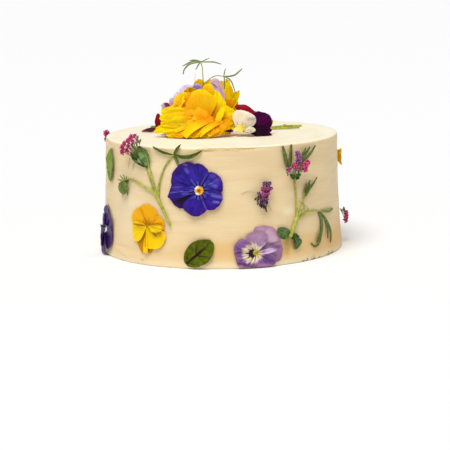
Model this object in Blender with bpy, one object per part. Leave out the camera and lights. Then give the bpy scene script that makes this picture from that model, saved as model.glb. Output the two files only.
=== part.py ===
"""A tall round buttercream layer cake with fresh flowers and herbs pressed round its side.

A small bouquet lies on the top. All lengths below are millimetres and all bearings are
degrees; make_object turns the finished points into metres. The origin is the middle of the
cake's underside and +Z is up. The front, with the large blue pansy, faces -Y. A place on
the side is a turn round the cake, 0 at the front and growing towards +X, and a height.
"""

import math

import bmesh
import bpy
import numpy as np
from mathutils import Euler

MM = 0.001

# The iced cake: an 8 inch round, 4 inches high, a little wider at its foot.
CAKE_HEIGHT = 99.5
TOP_RADIUS = 100.2
FOOT_FLARE = 4.3
FLARE_POWER = 1.6
RIM_ROUND = 2.2
FOOT_ROUND = 1.3
SIDE_COLUMNS = 72
SIDE_HEIGHTS = (FOOT_ROUND, 10.0, 22.0, 36.0, 51.0, 67.0, 83.0, CAKE_HEIGHT - RIM_ROUND)
CAP_SHARES = (0.66, 0.33)

# The knife's low waves in the icing as (lobes round, start, height per radian, rise, depth),
# and the fuller foot on one side as its turn, its spread and its depth.
ICING_WAVES = ((3, 0.4, 31.0, 0.8, 0.35), (5, 0.0, -23.0, 0.0, 0.21))
FULL_TURN = 95.0
FULL_SPREAD = 55.0
FULL_DEPTH = 0.5

# How everything lies on the icing.
GAP = 0.35
TOP_GAP = 0.7
SKIN = 0.6
LOWEST = 1.4
DEGREE_ARC = math.radians(1.0) * 102.0

# Faces that meet at a sharper angle than this keep a hard edge.
SHARP_EDGE = math.radians(50.0)

# Flowers and leaves, in steps round and across.
FLOWER_COLUMNS = 26
FLOWER_RINGS = 2
LEAF_STEPS = 5
LEAF_CUP = 0.4
TUBE_SIDES = 5

# Shape of one petal's edge, from round (2) to square (large), and how far its shoulders drop.
PETAL_SQUARE = 3.0
PETAL_SHOULDER = 0.4
FLOWER_HEART = 0.4

GREEN = (0.16, 0.27, 0.06)
DARK_GREEN = (0.07, 0.16, 0.05)
STEM_GREEN = (0.45, 0.50, 0.10)
PINK = (0.62, 0.06, 0.26)
PURPLE = (0.30, 0.05, 0.25)
BLUE = (0.06, 0.02, 0.32)
PLUM = (0.08, 0.01, 0.12)
LILAC = (0.42, 0.26, 0.52)
YELLOW = (0.90, 0.55, 0.01)
ORANGE = (0.90, 0.38, 0.01)
MAROON = (0.28, 0.004, 0.02)
WHITE = (0.86, 0.80, 0.66)
CREAM = (0.90, 0.76, 0.52)

# Flat flowers pressed on the side: turn, height, colour, then petals as
# (bearing, reach, half spread, lift off the icing at the edge).
SIDE_FLOWERS = {
    "pansy_blue": (-10.7, 64.9, BLUE, (
        (118, 25.5, 52, 1.6), (187, 27.3, 40, 1.4), (-152, 26.0, 40, 1.0),
        (-100, 21.0, 46, 1.6), (-40, 21.5, 46, 2.0), (28, 21.5, 50, 1.8))),
    "pansy_yellow": (-37.8, 33.7, YELLOW, (
        (112, 18.5, 62, 1.2), (50, 17.5, 55, 1.0), (-32, 21.5, 44, 1.6),
        (190, 15.5, 46, 1.2), (-80, 23.0, 62, 2.0), (-122, 21.5, 40, 1.2))),
    "pansy_lilac": (14.2, 12.8, LILAC, (
        (165, 17.5, 48, 1.6), (85, 20.5, 50, 1.4), (50, 24.5, 34, 0.8), (12, 21.5, 40, 2.6),
        (-32, 20.0, 44, 1.8), (-95, 14.0, 60, 1.6), (-150, 17.0, 45, 1.6))),
    "pansy_plum": (-74.5, 21.4, PLUM, (
        (95, 21.0, 50, 1.6), (28, 19.0, 45, 1.2), (-25, 20.0, 45, 1.2),
        (-88, 20.0, 45, 3.2), (-148, 19.0, 45, 3.8), (158, 17.5, 50, 2.2))),
    "pansy_amber": (106.0, 76.0, ORANGE, (
        (180, 20.5, 24, 5.4), (115, 16.0, 48, 1.2), (50, 17.0, 50, 1.2),
        (-20, 18.0, 50, 1.4), (-98, 15.5, 52, 1.0))),
    "pansy_violet_back": (172.0, 62.0, BLUE, (
        (60, 24.0, 52, 1.6), (130, 24.5, 50, 1.4), (200, 22.0, 46, 1.6),
        (-90, 22.5, 52, 2.0), (-15, 22.0, 46, 1.6))),
    "pansy_yellow_back": (141.0, 31.0, YELLOW, (
        (70, 18.5, 60, 1.2), (135, 18.0, 52, 1.0), (205, 19.0, 48, 1.4),
        (-85, 21.0, 56, 2.0), (-15, 19.0, 48, 1.6))),
    "pansy_lilac_back": (-151.0, 24.0, LILAC, (
        (75, 20.0, 52, 1.4), (140, 19.0, 50, 1.2), (200, 18.0, 46, 1.6),
        (-90, 19.0, 56, 1.8), (-10, 18.5, 48, 1.6))),
}

# Flat leaves pressed on the side: turn, height, bearing, length, half width.
SIDE_LEAVES = {
    "leaf_sorrel": (-11.5, 14.4, 43.0, 30.5, 11.0),
    "leaf_serrated": (-67.6, 78.6, 84.0, 29.0, 8.0),
    "leaf_sorrel_back": (-178.0, 16.5, 118.0, 29.0, 10.5),
    "leaf_round_back": (-112.0, 42.0, 60.0, 26.0, 8.5),
}

# Blossom heads on the side: turn, height, standing distance, colour, then lumps as
# (across, up, out, radius).
BLOSSOMS = {
    "blossom_left": (-44.2, 99.0, 6.8, PINK, (
        (-5.4, -2.0, 0.0, 4.8), (1.4, 3.4, 0.0, 5.2), (7.2, 3.6, -0.6, 3.8), (0.6, -3.2, 0.4, 3.8),
        (-6.6, -5.0, 0.4, 3.2))),
    "blossom_right": (35.6, 82.0, 7.2, PINK, (
        (-6.6, -2.4, 0.0, 4.6), (6.2, -1.4, 0.4, 5.0), (-0.4, 5.2, -0.4, 4.6), (0.0, -3.2, 0.0, 4.4))),
    "blossom_edge": (93.0, 23.8, 4.8, PINK, (
        (-1.0, 2.6, 0.6, 4.3), (1.0, -2.6, 0.4, 4.3), (-2.0, -4.4, -0.6, 2.9), (-0.4, 5.4, -1.4, 2.3))),
    "blossom_rear": (-103.0, 95.4, 3.6, PINK, (
        (2.0, 2.4, -0.4, 4.0), (-3.0, 1.6, 0.0, 4.2), (0.5, -3.4, 0.0, 4.2), (4.6, 5.0, -0.4, 2.9))),
    "blossom_back": (-170.5, 89.0, 7.0, PINK, (
        (-3.0, 1.4, 0.0, 4.6), (3.0, 2.2, 0.0, 4.6), (0.0, -3.4, 0.2, 4.4))),
    "lavender_front": (18.5, 58.4, 5.2, PURPLE, (
        (1.6, 7.0, -0.6, 5.0), (3.6, 3.6, 0.4, 4.6), (-2.2, 0.4, 0.2, 5.2), (1.6, -0.8, 0.0, 5.0),
        (-1.8, -5.4, -0.6, 4.2), (0.8, -10.4, -1.6, 2.9))),
    "lavender_back": (111.0, 34.0, 5.2, PURPLE, (
        (-0.6, 7.4, -0.6, 4.8), (2.4, 3.0, 0.4, 5.0), (-2.6, 0.6, 0.2, 5.0), (0.6, -4.4, 0.0, 4.8),
        (-0.8, -9.0, -1.4, 3.2))),
}

# Herb sprigs on the side: turn and height of the fork, then stems as (points, radius),
# leaves as (base, tip, half width, bow) and needles as (points, half width).
SPRIGS = {
    "sprig_left": {
        "fork": (-31.6, 58.7),
        "stems": (
            (((10.8, -23.7), (5.4, -12.7), (0.7, -3.2), (-0.2, 1.0)), 1.5),
            (((0.3, -2.6), (0.7, 8.2), (2.6, 16.4), (7.4, 26.4), (16.4, 34.7)), 1.1),
            (((0.6, -2.2), (-3.3, 2.3), (-15.9, 7.8), (-25.5, 11.1), (-35.6, 11.6), (-40.2, 7.0)), 1.0),
            (((0.2, -0.8), (-3.3, 6.3), (-7.4, 16.6), (-11.4, 25.6)), 1.4)),
        "leaves": (
            ((-10.4, 23.0), (-19.0, 41.4), 4.8, 1.2),
            ((-11.0, 24.0), (-32.0, 35.6), 3.9, -1.0),
            ((18.0, 34.2), (-4.3, 40.7), 1.9, 0.8),
            ((15.6, 33.2), (22.0, 42.9), 1.6, 0.0),
            ((14.6, 35.2), (39.6, 37.4), 1.9, -3.0),
            ((15.4, 36.4), (19.2, 28.6), 1.5, 0.0)),
        "needles": (),
        "buds": (((-40.2, 3.6), 4.4, 5.3),),
    },
    "sprig_right": {
        "fork": (36.8, 38.6),
        "stems": (
            (((-9.4, -14.5), (-5.0, -7.5), (-0.6, 0.8)), 1.7),
            (((-0.9, -1.0), (-0.6, 9.0), (-0.6, 18.6), (-0.8, 33.0)), 1.1),
            (((-0.6, -0.6), (6.5, 8.0), (8.7, 14.2), (9.6, 17.5)), 1.0),
            (((-0.8, -1.4), (9.7, 2.6), (19.5, 2.5), (29.0, 0.6)), 1.0)),
        "leaves": (
            ((27.6, 1.0), (52.0, -0.8), 2.4, 0.6),
            ((-8.6, -13.6), (-19.4, -10.4), 4.8, 0.0),
            ((-9.6, -13.4), (-1.2, -25.6), 4.0, 3.0),
            ((-0.8, 27.4), (4.8, 36.0), 2.4, 0.0),
            ((-0.8, 28.0), (-6.4, 34.0), 2.0, 0.0)),
        "needles": (
            (((-0.8, 31.0), (-6.5, 40.0), (-9.5, 50.0), (-11.4, 59.6)), 1.6),
            (((-0.8, 31.0), (-3.6, 44.0), (-3.0, 60.0)), 1.6),
            (((-0.8, 31.0), (6.0, 46.0), (12.3, 55.7)), 1.3),
            (((-0.6, 31.0), (10.0, 46.0), (18.0, 56.0)), 1.1),
            (((-0.6, 31.0), (13.0, 44.0), (24.3, 55.6)), 1.3),
            (((9.0, 14.5), (12.0, 21.5), (17.3, 27.8)), 1.2),
            (((9.0, 15.0), (16.4, 21.6), (26.0, 28.4)), 1.2),
            (((28.2, 1.4), (30.4, -8.7), (25.8, -19.7), (19.7, -26.7)), 1.6),
            (((28.0, 1.2), (38.0, -6.0), (45.5, -17.0), (44.9, -27.0)), 1.4),
            (((36.4, -4.6), (38.8, -14.0), (37.1, -22.4)), 1.2)),
        "buds": (),
    },
    "sprig_back": {
        "fork": (-166.0, 62.0),
        "stems": (
            (((-8.0, -18.0), (-4.0, -8.0), (0.0, 1.0)), 1.5),
            (((-0.2, -1.6), (-2.0, 10.0), (-5.6, 18.0), (-7.0, 24.0)), 1.1),
            (((-0.4, -1.6), (8.0, 7.0), (18.0, 9.0), (28.0, 6.0)), 1.0)),
        "leaves": (
            ((26.6, 6.6), (40.0, 15.0), 3.0, 1.0),
            ((26.6, 7.0), (44.0, 1.0), 2.6, -1.0),
            ((-5.6, 21.0), (-20.0, 30.0), 3.2, 1.0)),
        "needles": (
            (((-6.8, 22.0), (-3.0, 28.0), (2.0, 32.6)), 1.3),
            (((26.6, 7.4), (32.0, -2.0), (33.0, -14.0)), 1.4),
            (((1.4, 0.6), (6.0, -6.0), (14.0, -10.0)), 1.3)),
        "buds": (),
    },
}

# Ruffled blooms on the top: middle, core radii, cupped petals over the core as
# (middle, radii), colour, then ruffled petals as
# (bearing, start radius, start height, end radius, end height, half width).
BLOOMS = {
    "bloom_front": ((-20.5, -10.0), (24.0, 19.5, 30.0), (
        ((8.8, -1.2, 29.4), (14.0, 13.5, 15.0)), ((-8.0, 0.6, 24.2), (13.0, 12.0, 12.5))), YELLOW, (
        (-158, 12, 8, 33.0, 3.5, 12), (-122, 11, 9, 26.0, 2.6, 12), (-84, 9, 9, 23.6, 2.4, 12),
        (-46, 10, 9, 27.0, 3.0, 12), (-12, 12, 10, 32.0, 7.0, 12), (178, 12, 12, 37.0, 8.0, 13),
        (-30, 10, 18, 26.0, 20.5, 10), (-146, 11, 18, 30.0, 20.0, 12))),
    "bloom_back": ((-1.0, 33.5), (17.0, 13.0, 41.0), (), YELLOW, (
        (12, 8, 16, 18.0, 29.0, 9), (168, 8, 26, 18.6, 41.0, 7), (70, 8, 10, 21.0, 7.0, 12),
        (20, 8, 8, 22.0, 4.0, 11), (128, 8, 10, 20.0, 6.0, 11))),
}
BLOOM_COLUMNS = 20
BLOOM_ROWS = 7
BLOOM_FOLD = 0.055
BLOOM_PETAL = 1.3
BLOOM_RUFFLE = 1.2
BLOOM_CLOSE = 0.97 * math.pi / 2

# Small flowers of the bouquet: middle, turn, tilt back, spin, colour, then petals as above.
TOP_FLOWERS = {
    "viola_lilac": ((-31.5, 17.0, 123.0), 0, 6, 0, LILAC, (
        (118, 16.0, 50, 0.4), (62, 19.5, 46, 0.2), (185, 9.5, 46, 0.8), (-100, 16.0, 60, 0.6))),
    "petal_lilac": ((-3.4, 14.0, 129.5), 0, 2, 0, LILAC, (
        (96, 14.8, 62, 0.2), (20, 9.0, 60, 0.2), (-88, 15.0, 50, 0.2), (165, 7.0, 60, 0.2))),
    "viola_mauve": ((-45.8, 14.4, 119.0), 0, 8, 0, WHITE, (
        (112, 10.5, 55, 0.4), (50, 11.5, 50, 0.3), (200, 6.0, 55, 0.8), (-95, 9.0, 55, 0.6))),
    "viola_red_left": ((-58.0, 11.0, 103.6), -8, 58, 0, MAROON, (
        (70, 14.0, 34, 4.0), (168, 12.5, 36, -1.6), (-110, 7.0, 50, 0.4), (-150, 8.5, 40, -0.8))),
    "viola_red_right": ((20.4, -1.0, 113.0), 6, 14, 0, MAROON, (
        (118, 10.5, 50, 0.4), (10, 13.5, 40, 0.6), (60, 8.5, 50, 0.2), (-100, 9.0, 60, 0.2))),
    "viola_white": ((21.2, -27.0, 105.6), 4, 36, 0, WHITE, (
        (88, 14.5, 46, 0.8), (42, 17.0, 36, 1.4), (180, 9.6, 44, 0.4), (16, 25.5, 30, -0.6),
        (-9, 24.6, 24, 1.0), (-64, 7.4, 50, 0.8), (135, 9.5, 50, 0.2))),
    "viola_violet_back": ((-32.0, 44.0, 106.5), 172, 52, 0, BLUE, (
        (60, 15.0, 52, 1.0), (125, 15.0, 50, 0.6), (195, 13.5, 46, 0.8), (-90, 7.6, 56, 0.6),
        (-15, 13.5, 46, 0.8))),
    "viola_yellow_back": ((34.0, 36.0, 106.0), 150, 54, 0, YELLOW, (
        (65, 14.0, 54, 1.0), (130, 14.0, 50, 0.6), (200, 12.5, 46, 0.8), (-90, 7.2, 56, 0.6),
        (-15, 12.5, 46, 0.8))),
}

# Leaves and loose petals lying on the top: base, tip, half width, lift at the tip, colour.
TOP_LEAVES = {
    "leaf_top_left": ((-52.0, 31.0), (-66.0, 44.0), 3.0, 2.2, GREEN),
    "leaf_top_back": ((2.0, 58.0), (12.0, 78.0), 8.5, 1.6, DARK_GREEN),
    "petal_maroon": ((4.2, -31.0), (11.4, -35.0), 2.4, 0.9, MAROON),
}

# Cut stems lying on the top at the right: base, middle, tip and radius. The back one has a knot.
TOP_STEMS = {
    "stem_right_back": ((43.5, 24.0), (56.0, 27.0), (71.0, 31.0), 1.3),
    "stem_right_front": ((44.5, 11.5), (57.0, 15.0), (70.0, 20.0), 1.3),
}
STEM_KNOT = 2.1

# Fine sprigs standing out of the bouquet: plane of the sprig, then stems and needles in it.
TOP_SPRIGS = {
    "sprig_top_left": {
        "depth": 11.8,
        "stems": (
            (((-14.6, 136.0), (-15.2, 147.0), (-15.6, 155.0), (-16.6, 160.6)), 0.65),),
        "needles": (
            (((-15.9, 160.9), (-24.0, 160.6), (-32.5, 156.9)), 0.8),
            (((-15.7, 160.2), (-26.0, 158.6), (-31.0, 154.0), (-32.1, 149.7)), 0.9),
            (((-16.1, 160.5), (-18.6, 158.0), (-21.1, 153.6)), 0.75),
            (((-17.3, 160.1), (-6.0, 160.0), (1.3, 157.9)), 0.85),
            (((-16.9, 159.9), (-13.0, 161.8), (-9.0, 163.1)), 0.6)),
    },
    "sprig_top_right": {
        "depth": 8.6,
        "stems": (
            (((-13.4, 142.2), (-9.0, 146.4), (-3.0, 148.4), (3.4, 147.5)), 0.65),),
        "needles": (
            (((3.0, 146.8), (3.6, 150.0), (4.7, 154.3)), 0.65),
            (((2.4, 147.4), (12.0, 148.6), (19.0, 153.8)), 0.85),
            (((3.2, 148.2), (3.8, 143.0), (3.6, 138.6)), 0.75),
            (((2.6, 147.8), (9.0, 144.0), (12.6, 134.4)), 0.75)),
    },
}


def clear_scene():
    for old in list(bpy.data.objects):
        bpy.data.objects.remove(old, do_unlink=True)


def icing_radius(turn, height):
    """Radius of the iced side at a turn in degrees and a height, with the knife's low waves."""
    part = np.clip(1.0 - np.asarray(height, float) / CAKE_HEIGHT, 0.0, 1.0)
    angle = np.radians(turn)
    (lobes, start, rate, rise, depth), (more, begin, lean, _, shallow) = ICING_WAVES
    wave = depth * np.sin(lobes * angle + start) * np.sin(height / rate + rise)
    wave = wave + shallow * np.sin(more * angle + begin + height / lean)
    away = (np.asarray(turn, float) - FULL_TURN + 180.0) % 360.0 - 180.0
    full = FULL_DEPTH * np.exp(-((away / FULL_SPREAD) ** 2))
    return TOP_RADIUS + FOOT_FLARE * part ** FLARE_POWER + wave + full * part


def on_side(turn, height):
    """A function that wraps flat points (across, up, out) on to the icing at this place."""

    def wrap(points):
        points = np.asarray(points, float)
        angle = turn + points[..., 0] / DEGREE_ARC
        level = height + points[..., 1]
        radius = icing_radius(angle, level) + GAP + points[..., 2]
        angle = np.radians(angle)
        return np.stack([radius * np.sin(angle), -radius * np.cos(angle), level], -1)

    return wrap


def facing(middle, turn, tilt, spin):
    """A function that stands flat points up at middle, facing -Y before the turn and the tilt back."""
    turned = Euler((0, 0, math.radians(turn))).to_matrix()
    tilted = Euler((math.radians(90 - tilt), 0, 0)).to_matrix()
    spun = Euler((0, 0, math.radians(spin))).to_matrix()
    matrix = np.array(turned @ tilted @ spun)

    def place(points):
        return np.asarray(points, float) @ matrix.T + np.asarray(middle, float)

    return place


def on_top(base, tip):
    """A function that lays flat points (along, left, up) on the cake's top from base to tip."""
    bearing = math.atan2(tip[1] - base[1], tip[0] - base[0])
    along = np.array((math.cos(bearing), math.sin(bearing), 0.0))
    left = np.array((-math.sin(bearing), math.cos(bearing), 0.0))
    start = np.array((base[0], base[1], CAKE_HEIGHT + GAP))

    def lay(points):
        points = np.asarray(points, float)
        return start + points[..., :1] * along + points[..., 1:2] * left + points[..., 2:] * (0, 0, 1)

    return lay


def standing(depth):
    """A function that stands flat points (across, height, out) in the plane y = depth."""

    def place(points):
        points = np.asarray(points, float)
        return np.stack([points[..., 0], depth - points[..., 2], points[..., 1]], -1)

    return place


def material(name, colour, roughness):
    made = bpy.data.materials.new(name)
    made.use_nodes = True
    shader = made.node_tree.nodes["Principled BSDF"]
    shader.inputs["Base Color"].default_value = (*colour, 1.0)
    shader.inputs["Roughness"].default_value = roughness
    shader.inputs["Metallic"].default_value = 0.0
    made.diffuse_color = (*colour, 1.0)
    return made


def make_object(name, points, faces, colour=CREAM, roughness=0.6):
    """One closed mesh object from points in millimetres, its faces turned outwards."""
    mesh = bpy.data.meshes.new(name)
    mesh.from_pydata((np.asarray(points, float) * MM).tolist(), [], faces)
    shape = bmesh.new()
    shape.from_mesh(mesh)
    bmesh.ops.recalc_face_normals(shape, faces=shape.faces)
    if shape.calc_volume(signed=True) < 0:
        bmesh.ops.reverse_faces(shape, faces=shape.faces)
    shape.to_mesh(mesh)
    shape.free()
    mesh.shade_smooth()
    mesh.set_sharp_from_angle(angle=SHARP_EDGE)
    made = bpy.data.objects.new(name, mesh)
    bpy.context.scene.collection.objects.link(made)
    made.data.materials.append(material(name + "_finish", colour, roughness))
    return made


def grid_faces(rows, columns, start, flip, closed=False):
    """Triangles of a grid of rows by columns, split alike on both faces of a leaf or petal."""
    faces = []
    for row in range(rows - 1):
        for column in range(columns if closed else columns - 1):
            after = (column + 1) % columns
            a = start + row * columns + column
            b = start + row * columns + after
            c = start + (row + 1) * columns + after
            d = start + (row + 1) * columns + column
            pair = [(a, b, c), (a, c, d)]
            faces += [face[::-1] for face in pair] if flip else pair
    return faces


def sheet_body(upper, lower):
    """Closed body between two like grids of points: an upper face, a lower face and the rim."""
    rows, columns = upper.shape[:2]
    count = rows * columns
    points = np.concatenate([upper.reshape(-1, 3), lower.reshape(-1, 3)])
    faces = grid_faces(rows, columns, 0, False) + grid_faces(rows, columns, count, True)
    rim = list(range(columns))
    rim += [row * columns + columns - 1 for row in range(1, rows)]
    rim += [(rows - 1) * columns + column for column in range(columns - 2, -1, -1)]
    rim += [row * columns for row in range(rows - 2, 0, -1)]
    for here, after in zip(rim, rim[1:] + rim[:1]):
        faces += [(after, here, here + count), (after, here + count, after + count)]
    return points, faces


def disc_body(upper, lower):
    """Closed body between two like polar grids, rows outwards, each with its middle point first."""
    rings, columns = upper[1].shape[:2]
    count = rings * columns + 1
    points = [upper[0][None], upper[1].reshape(-1, 3), lower[0][None], lower[1].reshape(-1, 3)]
    points = np.concatenate(points)
    faces = grid_faces(rings, columns, 1, True, closed=True)
    faces += grid_faces(rings, columns, count + 1, False, closed=True)
    edge = (rings - 1) * columns + 1
    for column in range(columns):
        after = (column + 1) % columns
        faces.append((0, 1 + column, 1 + after))
        faces.append((count, count + 1 + after, count + 1 + column))
        here, there = edge + column, edge + after
        faces += [(here, there, there + count), (here, there + count, here + count)]
    return points, faces


def smooth_route(points, steps):
    """Points along a Catmull-Rom curve through the given ones, evenly spread by stretch."""
    points = [np.asarray(point, float) for point in points]
    points = [2 * points[0] - points[1]] + points + [2 * points[-1] - points[-2]]
    stretches = len(points) - 3
    route = []
    for step in range(steps + 1):
        place = step / steps * stretches
        index = min(int(place), stretches - 1)
        t = place - index
        a, b, c, d = points[index:index + 4]
        route.append(0.5 * (2 * b + (c - a) * t + (2 * a - 5 * b + 4 * c - d) * t ** 2
                            + (3 * b - a - 3 * c + d) * t ** 3))
    return np.array(route)


def flat_tube(route, half_widths, half_height, sides=TUBE_SIDES):
    """Closed tube along a flat route (across, up), resting on out = 0, wider than high for needles."""
    heading = np.gradient(route, axis=0)
    heading /= np.linalg.norm(heading, axis=1)[:, None]
    across = np.stack([-heading[:, 1], heading[:, 0]], -1)
    around = np.arange(sides) * 2 * math.pi / sides + math.pi / 2
    rings = []
    for centre, side, half_width in zip(route, across, half_widths):
        high = min(half_height, half_width)
        flat = centre + np.cos(around)[:, None] * half_width * side
        out = half_height + np.sin(around) * high
        rings.append(np.concatenate([flat, out[:, None]], 1))
    rings = np.array(rings)
    count = len(route)
    points = rings.reshape(-1, 3)
    faces = grid_faces(count, sides, 0, True, closed=True)
    first = list(range(sides))
    last = [(count - 1) * sides + side for side in range(sides)]
    faces += [(first[0], first[i], first[i + 1]) for i in range(1, sides - 1)]
    faces += [(last[0], last[i + 1], last[i]) for i in range(1, sides - 1)]
    return points, faces


def stem_body(points, radius, steps=None):
    steps = steps or 2 * (len(points) - 1)
    route = smooth_route(points, steps)
    return flat_tube(route, np.full(steps + 1, radius), radius)


def needle_body(points, half_width):
    """A narrow leaf, fullest near its middle, that starts and ends in a small blunt point."""
    steps = len(points)
    route = smooth_route(points, steps)
    fullness = np.sin(np.linspace(0.32, 2.86, steps + 1)) ** 0.7
    return flat_tube(route, half_width * fullness, 0.5 * half_width, sides=4)


def leaf_body(base, tip, half_width, bow, skin=SKIN, lift=0.5):
    """A thin wavy leaf between two points of the plane, its side bowed by a few millimetres."""
    base, tip = np.asarray(base, float), np.asarray(tip, float)
    axis = tip - base
    side = np.array((-axis[1], axis[0])) / np.linalg.norm(axis)
    along = np.linspace(0.0, 1.0, LEAF_STEPS)[:, None, None]
    across = np.linspace(-1.0, 1.0, 3)[None, :, None]
    width = half_width * np.sin(math.pi * (0.05 + 0.9 * along)) ** 0.75
    flat = base + along * axis + (across * width + bow * np.sin(math.pi * along)) * side
    wave = 0.5 + 0.5 * np.sin(5.0 * along[..., 0] + 1.3 * across[..., 0])
    out = lift * wave + LEAF_CUP * np.abs(across[..., 0])
    lower = np.concatenate([flat, out[..., None]], -1)
    upper = lower + (0.0, 0.0, skin)
    return sheet_body(upper, lower)


def petal_edge(petals, bearings):
    """Reach and lift of the flower's outline in each bearing: the petal that reaches furthest wins."""
    reach = np.full(len(bearings), FLOWER_HEART * max(petal[1] for petal in petals))
    lift = np.full(len(bearings), 0.3)
    for bearing, length, spread, height in petals:
        off = np.abs((bearings - bearing + 180.0) % 360.0 - 180.0) / spread
        own = length * np.clip(1.0 - off ** PETAL_SQUARE, 0.0, 1.0) ** PETAL_SHOULDER
        lift = np.where(own > reach, height, lift)
        reach = np.maximum(reach, own)
    lift = (lift + np.roll(lift, 1) + np.roll(lift, -1)) / 3.0
    return reach, lift


def flower_body(petals, room_below, skin=SKIN):
    """A flat flower as one thin disc with lobes, its lower edge kept within the room below it."""
    bearings = np.arange(FLOWER_COLUMNS) * 360.0 / FLOWER_COLUMNS
    reach, lift = petal_edge(petals, bearings)
    down = np.maximum(-np.sin(np.radians(bearings)), 1e-3)
    reach = np.minimum(reach, room_below / down)
    rings = np.linspace(0.0, 1.0, FLOWER_RINGS + 1)[1:, None]
    across = rings * reach * np.cos(np.radians(bearings))
    up = rings * reach * np.sin(np.radians(bearings))
    out = 0.25 + lift * rings ** 1.6
    lower = np.stack([across, up, out], -1)
    upper = lower + (0.0, 0.0, skin)
    middle = np.array((0.0, 0.0, 0.2))
    return disc_body((middle + (0.0, 0.0, skin + 0.3), upper), (middle, lower))


def lump_body(lumps, columns=12, rows=7):
    """One rounded body over several balls: the furthest ball surface in each direction from 0."""
    polar = np.linspace(0.0, math.pi, rows + 1)[1:-1, None]
    round_about = np.arange(columns)[None, :] * 2 * math.pi / columns
    ways = np.stack([np.sin(polar) * np.cos(round_about), np.sin(polar) * np.sin(round_about),
                     np.cos(polar) + 0 * round_about], -1)

    def shell(way):
        furthest = np.full(way.shape[:-1], 0.5 * min(lump[3] for lump in lumps))
        for across, up, out, radius in lumps:
            centre = np.array((across, up, out))
            along = way @ centre
            inside = along ** 2 - centre @ centre + radius ** 2
            hit = along + np.sqrt(np.maximum(inside, 0.0))
            furthest = np.where(inside > 0, np.maximum(furthest, hit), furthest)
        return furthest[..., None] * way

    near, far = np.array((0.0, 0.0, 1.0)), np.array((0.0, 0.0, -1.0))
    body = shell(ways)
    points = np.concatenate([shell(near)[None], body.reshape(-1, 3), shell(far)[None]])
    faces = grid_faces(rows - 1, columns, 1, False, closed=True)
    last = len(points) - 1
    start = last - columns
    for column in range(columns):
        after = (column + 1) % columns
        faces.append((0, 1 + after, 1 + column))
        faces.append((last, start + column, start + after))
    return points, faces


def fuse(name, bodies, place, colour, roughness=0.6):
    """Joins overlapping closed bodies into one solid with a Boolean union."""
    pieces = [make_object(f"{name}_piece_{index}", place(points), faces, colour, roughness)
              for index, (points, faces) in enumerate(bodies)]
    first, others = pieces[0], bpy.data.collections.new(name + "_pieces")
    bpy.context.scene.collection.children.link(others)
    for piece in pieces[1:]:
        bpy.context.scene.collection.objects.unlink(piece)
        others.objects.link(piece)
    join = first.modifiers.new("union", "BOOLEAN")
    join.operation = "UNION"
    join.operand_type = "COLLECTION"
    join.collection = others
    join.solver = "EXACT"
    graph = bpy.context.evaluated_depsgraph_get()
    mesh = bpy.data.meshes.new_from_object(first.evaluated_get(graph))
    for piece in pieces:
        bpy.data.objects.remove(piece, do_unlink=True)
    bpy.data.collections.remove(others)
    keep_largest_body(mesh)
    mesh.name = name
    mesh.shade_smooth()
    mesh.set_sharp_from_angle(angle=SHARP_EDGE)
    made = bpy.data.objects.new(name, mesh)
    mesh.materials.clear()
    mesh.materials.append(material(name + "_finish", colour, roughness))
    bpy.context.scene.collection.objects.link(made)
    return made


def keep_largest_body(mesh):
    """Splits a union into triangles and drops loose scraps and sealed hollows."""
    shape = bmesh.new()
    shape.from_mesh(mesh)
    bmesh.ops.triangulate(shape, faces=shape.faces)
    left = set(shape.faces)
    bodies = []
    while left:
        body, edge = set(), [left.pop()]
        while edge:
            face = edge.pop()
            body.add(face)
            for side in face.edges:
                for neighbour in side.link_faces:
                    if neighbour in left:
                        left.discard(neighbour)
                        edge.append(neighbour)
        bodies.append(body)
    bodies.sort(key=len, reverse=True)
    extra = [face for body in bodies[1:] for face in body]
    bmesh.ops.delete(shape, geom=extra, context="FACES")
    loose = [vert for vert in shape.verts if not vert.link_faces]
    bmesh.ops.delete(shape, geom=loose, context="VERTS")
    shape.to_mesh(mesh)
    shape.free()


def make_cake():
    """The iced cake, solid through, with a rounded rim, a flared foot and a flat underside."""
    turns = np.arange(SIDE_COLUMNS) * 360.0 / SIDE_COLUMNS
    levels = [(0.0, -FOOT_ROUND)] + [(height, 0.0) for height in SIDE_HEIGHTS]
    levels += [(CAKE_HEIGHT - 0.3 * RIM_ROUND, -0.3 * RIM_ROUND), (CAKE_HEIGHT, -RIM_ROUND)]
    rings = []
    for height, inset in levels:
        radius = icing_radius(turns, height) + inset
        rings.append((radius, np.full(SIDE_COLUMNS, height)))
    rim = rings[-1][0]
    for share in CAP_SHARES:
        rings.append((share * rim, np.full(SIDE_COLUMNS, CAKE_HEIGHT)))
    angle = np.radians(turns)
    grid = np.array([np.stack([radius * np.sin(angle), -radius * np.cos(angle), height], -1)
                     for radius, height in rings])
    points = np.concatenate([[(0.0, 0.0, 0.0)], grid.reshape(-1, 3), [(0.0, 0.0, CAKE_HEIGHT)]])
    faces = grid_faces(len(rings), SIDE_COLUMNS, 1, False, closed=True)
    last = len(points) - 1
    for column in range(SIDE_COLUMNS):
        after = (column + 1) % SIDE_COLUMNS
        faces.append((0, 1 + after, 1 + column))
        faces.append((last, last - SIDE_COLUMNS + column, last - SIDE_COLUMNS + after))
    make_object("cake", points, faces, CREAM, 0.55)


def make_side_flowers():
    for name, (turn, height, colour, petals) in SIDE_FLOWERS.items():
        points, faces = flower_body(petals, height - LOWEST)
        make_object(name, on_side(turn, height)(points), faces, colour)


def make_side_leaves():
    for name, (turn, height, bearing, length, half_width) in SIDE_LEAVES.items():
        bearing = math.radians(bearing)
        half = 0.5 * length * np.array((math.cos(bearing), math.sin(bearing)))
        points, faces = leaf_body(-half, half, half_width, 0.0)
        make_object(name, on_side(turn, height)(points), faces, GREEN)


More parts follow.
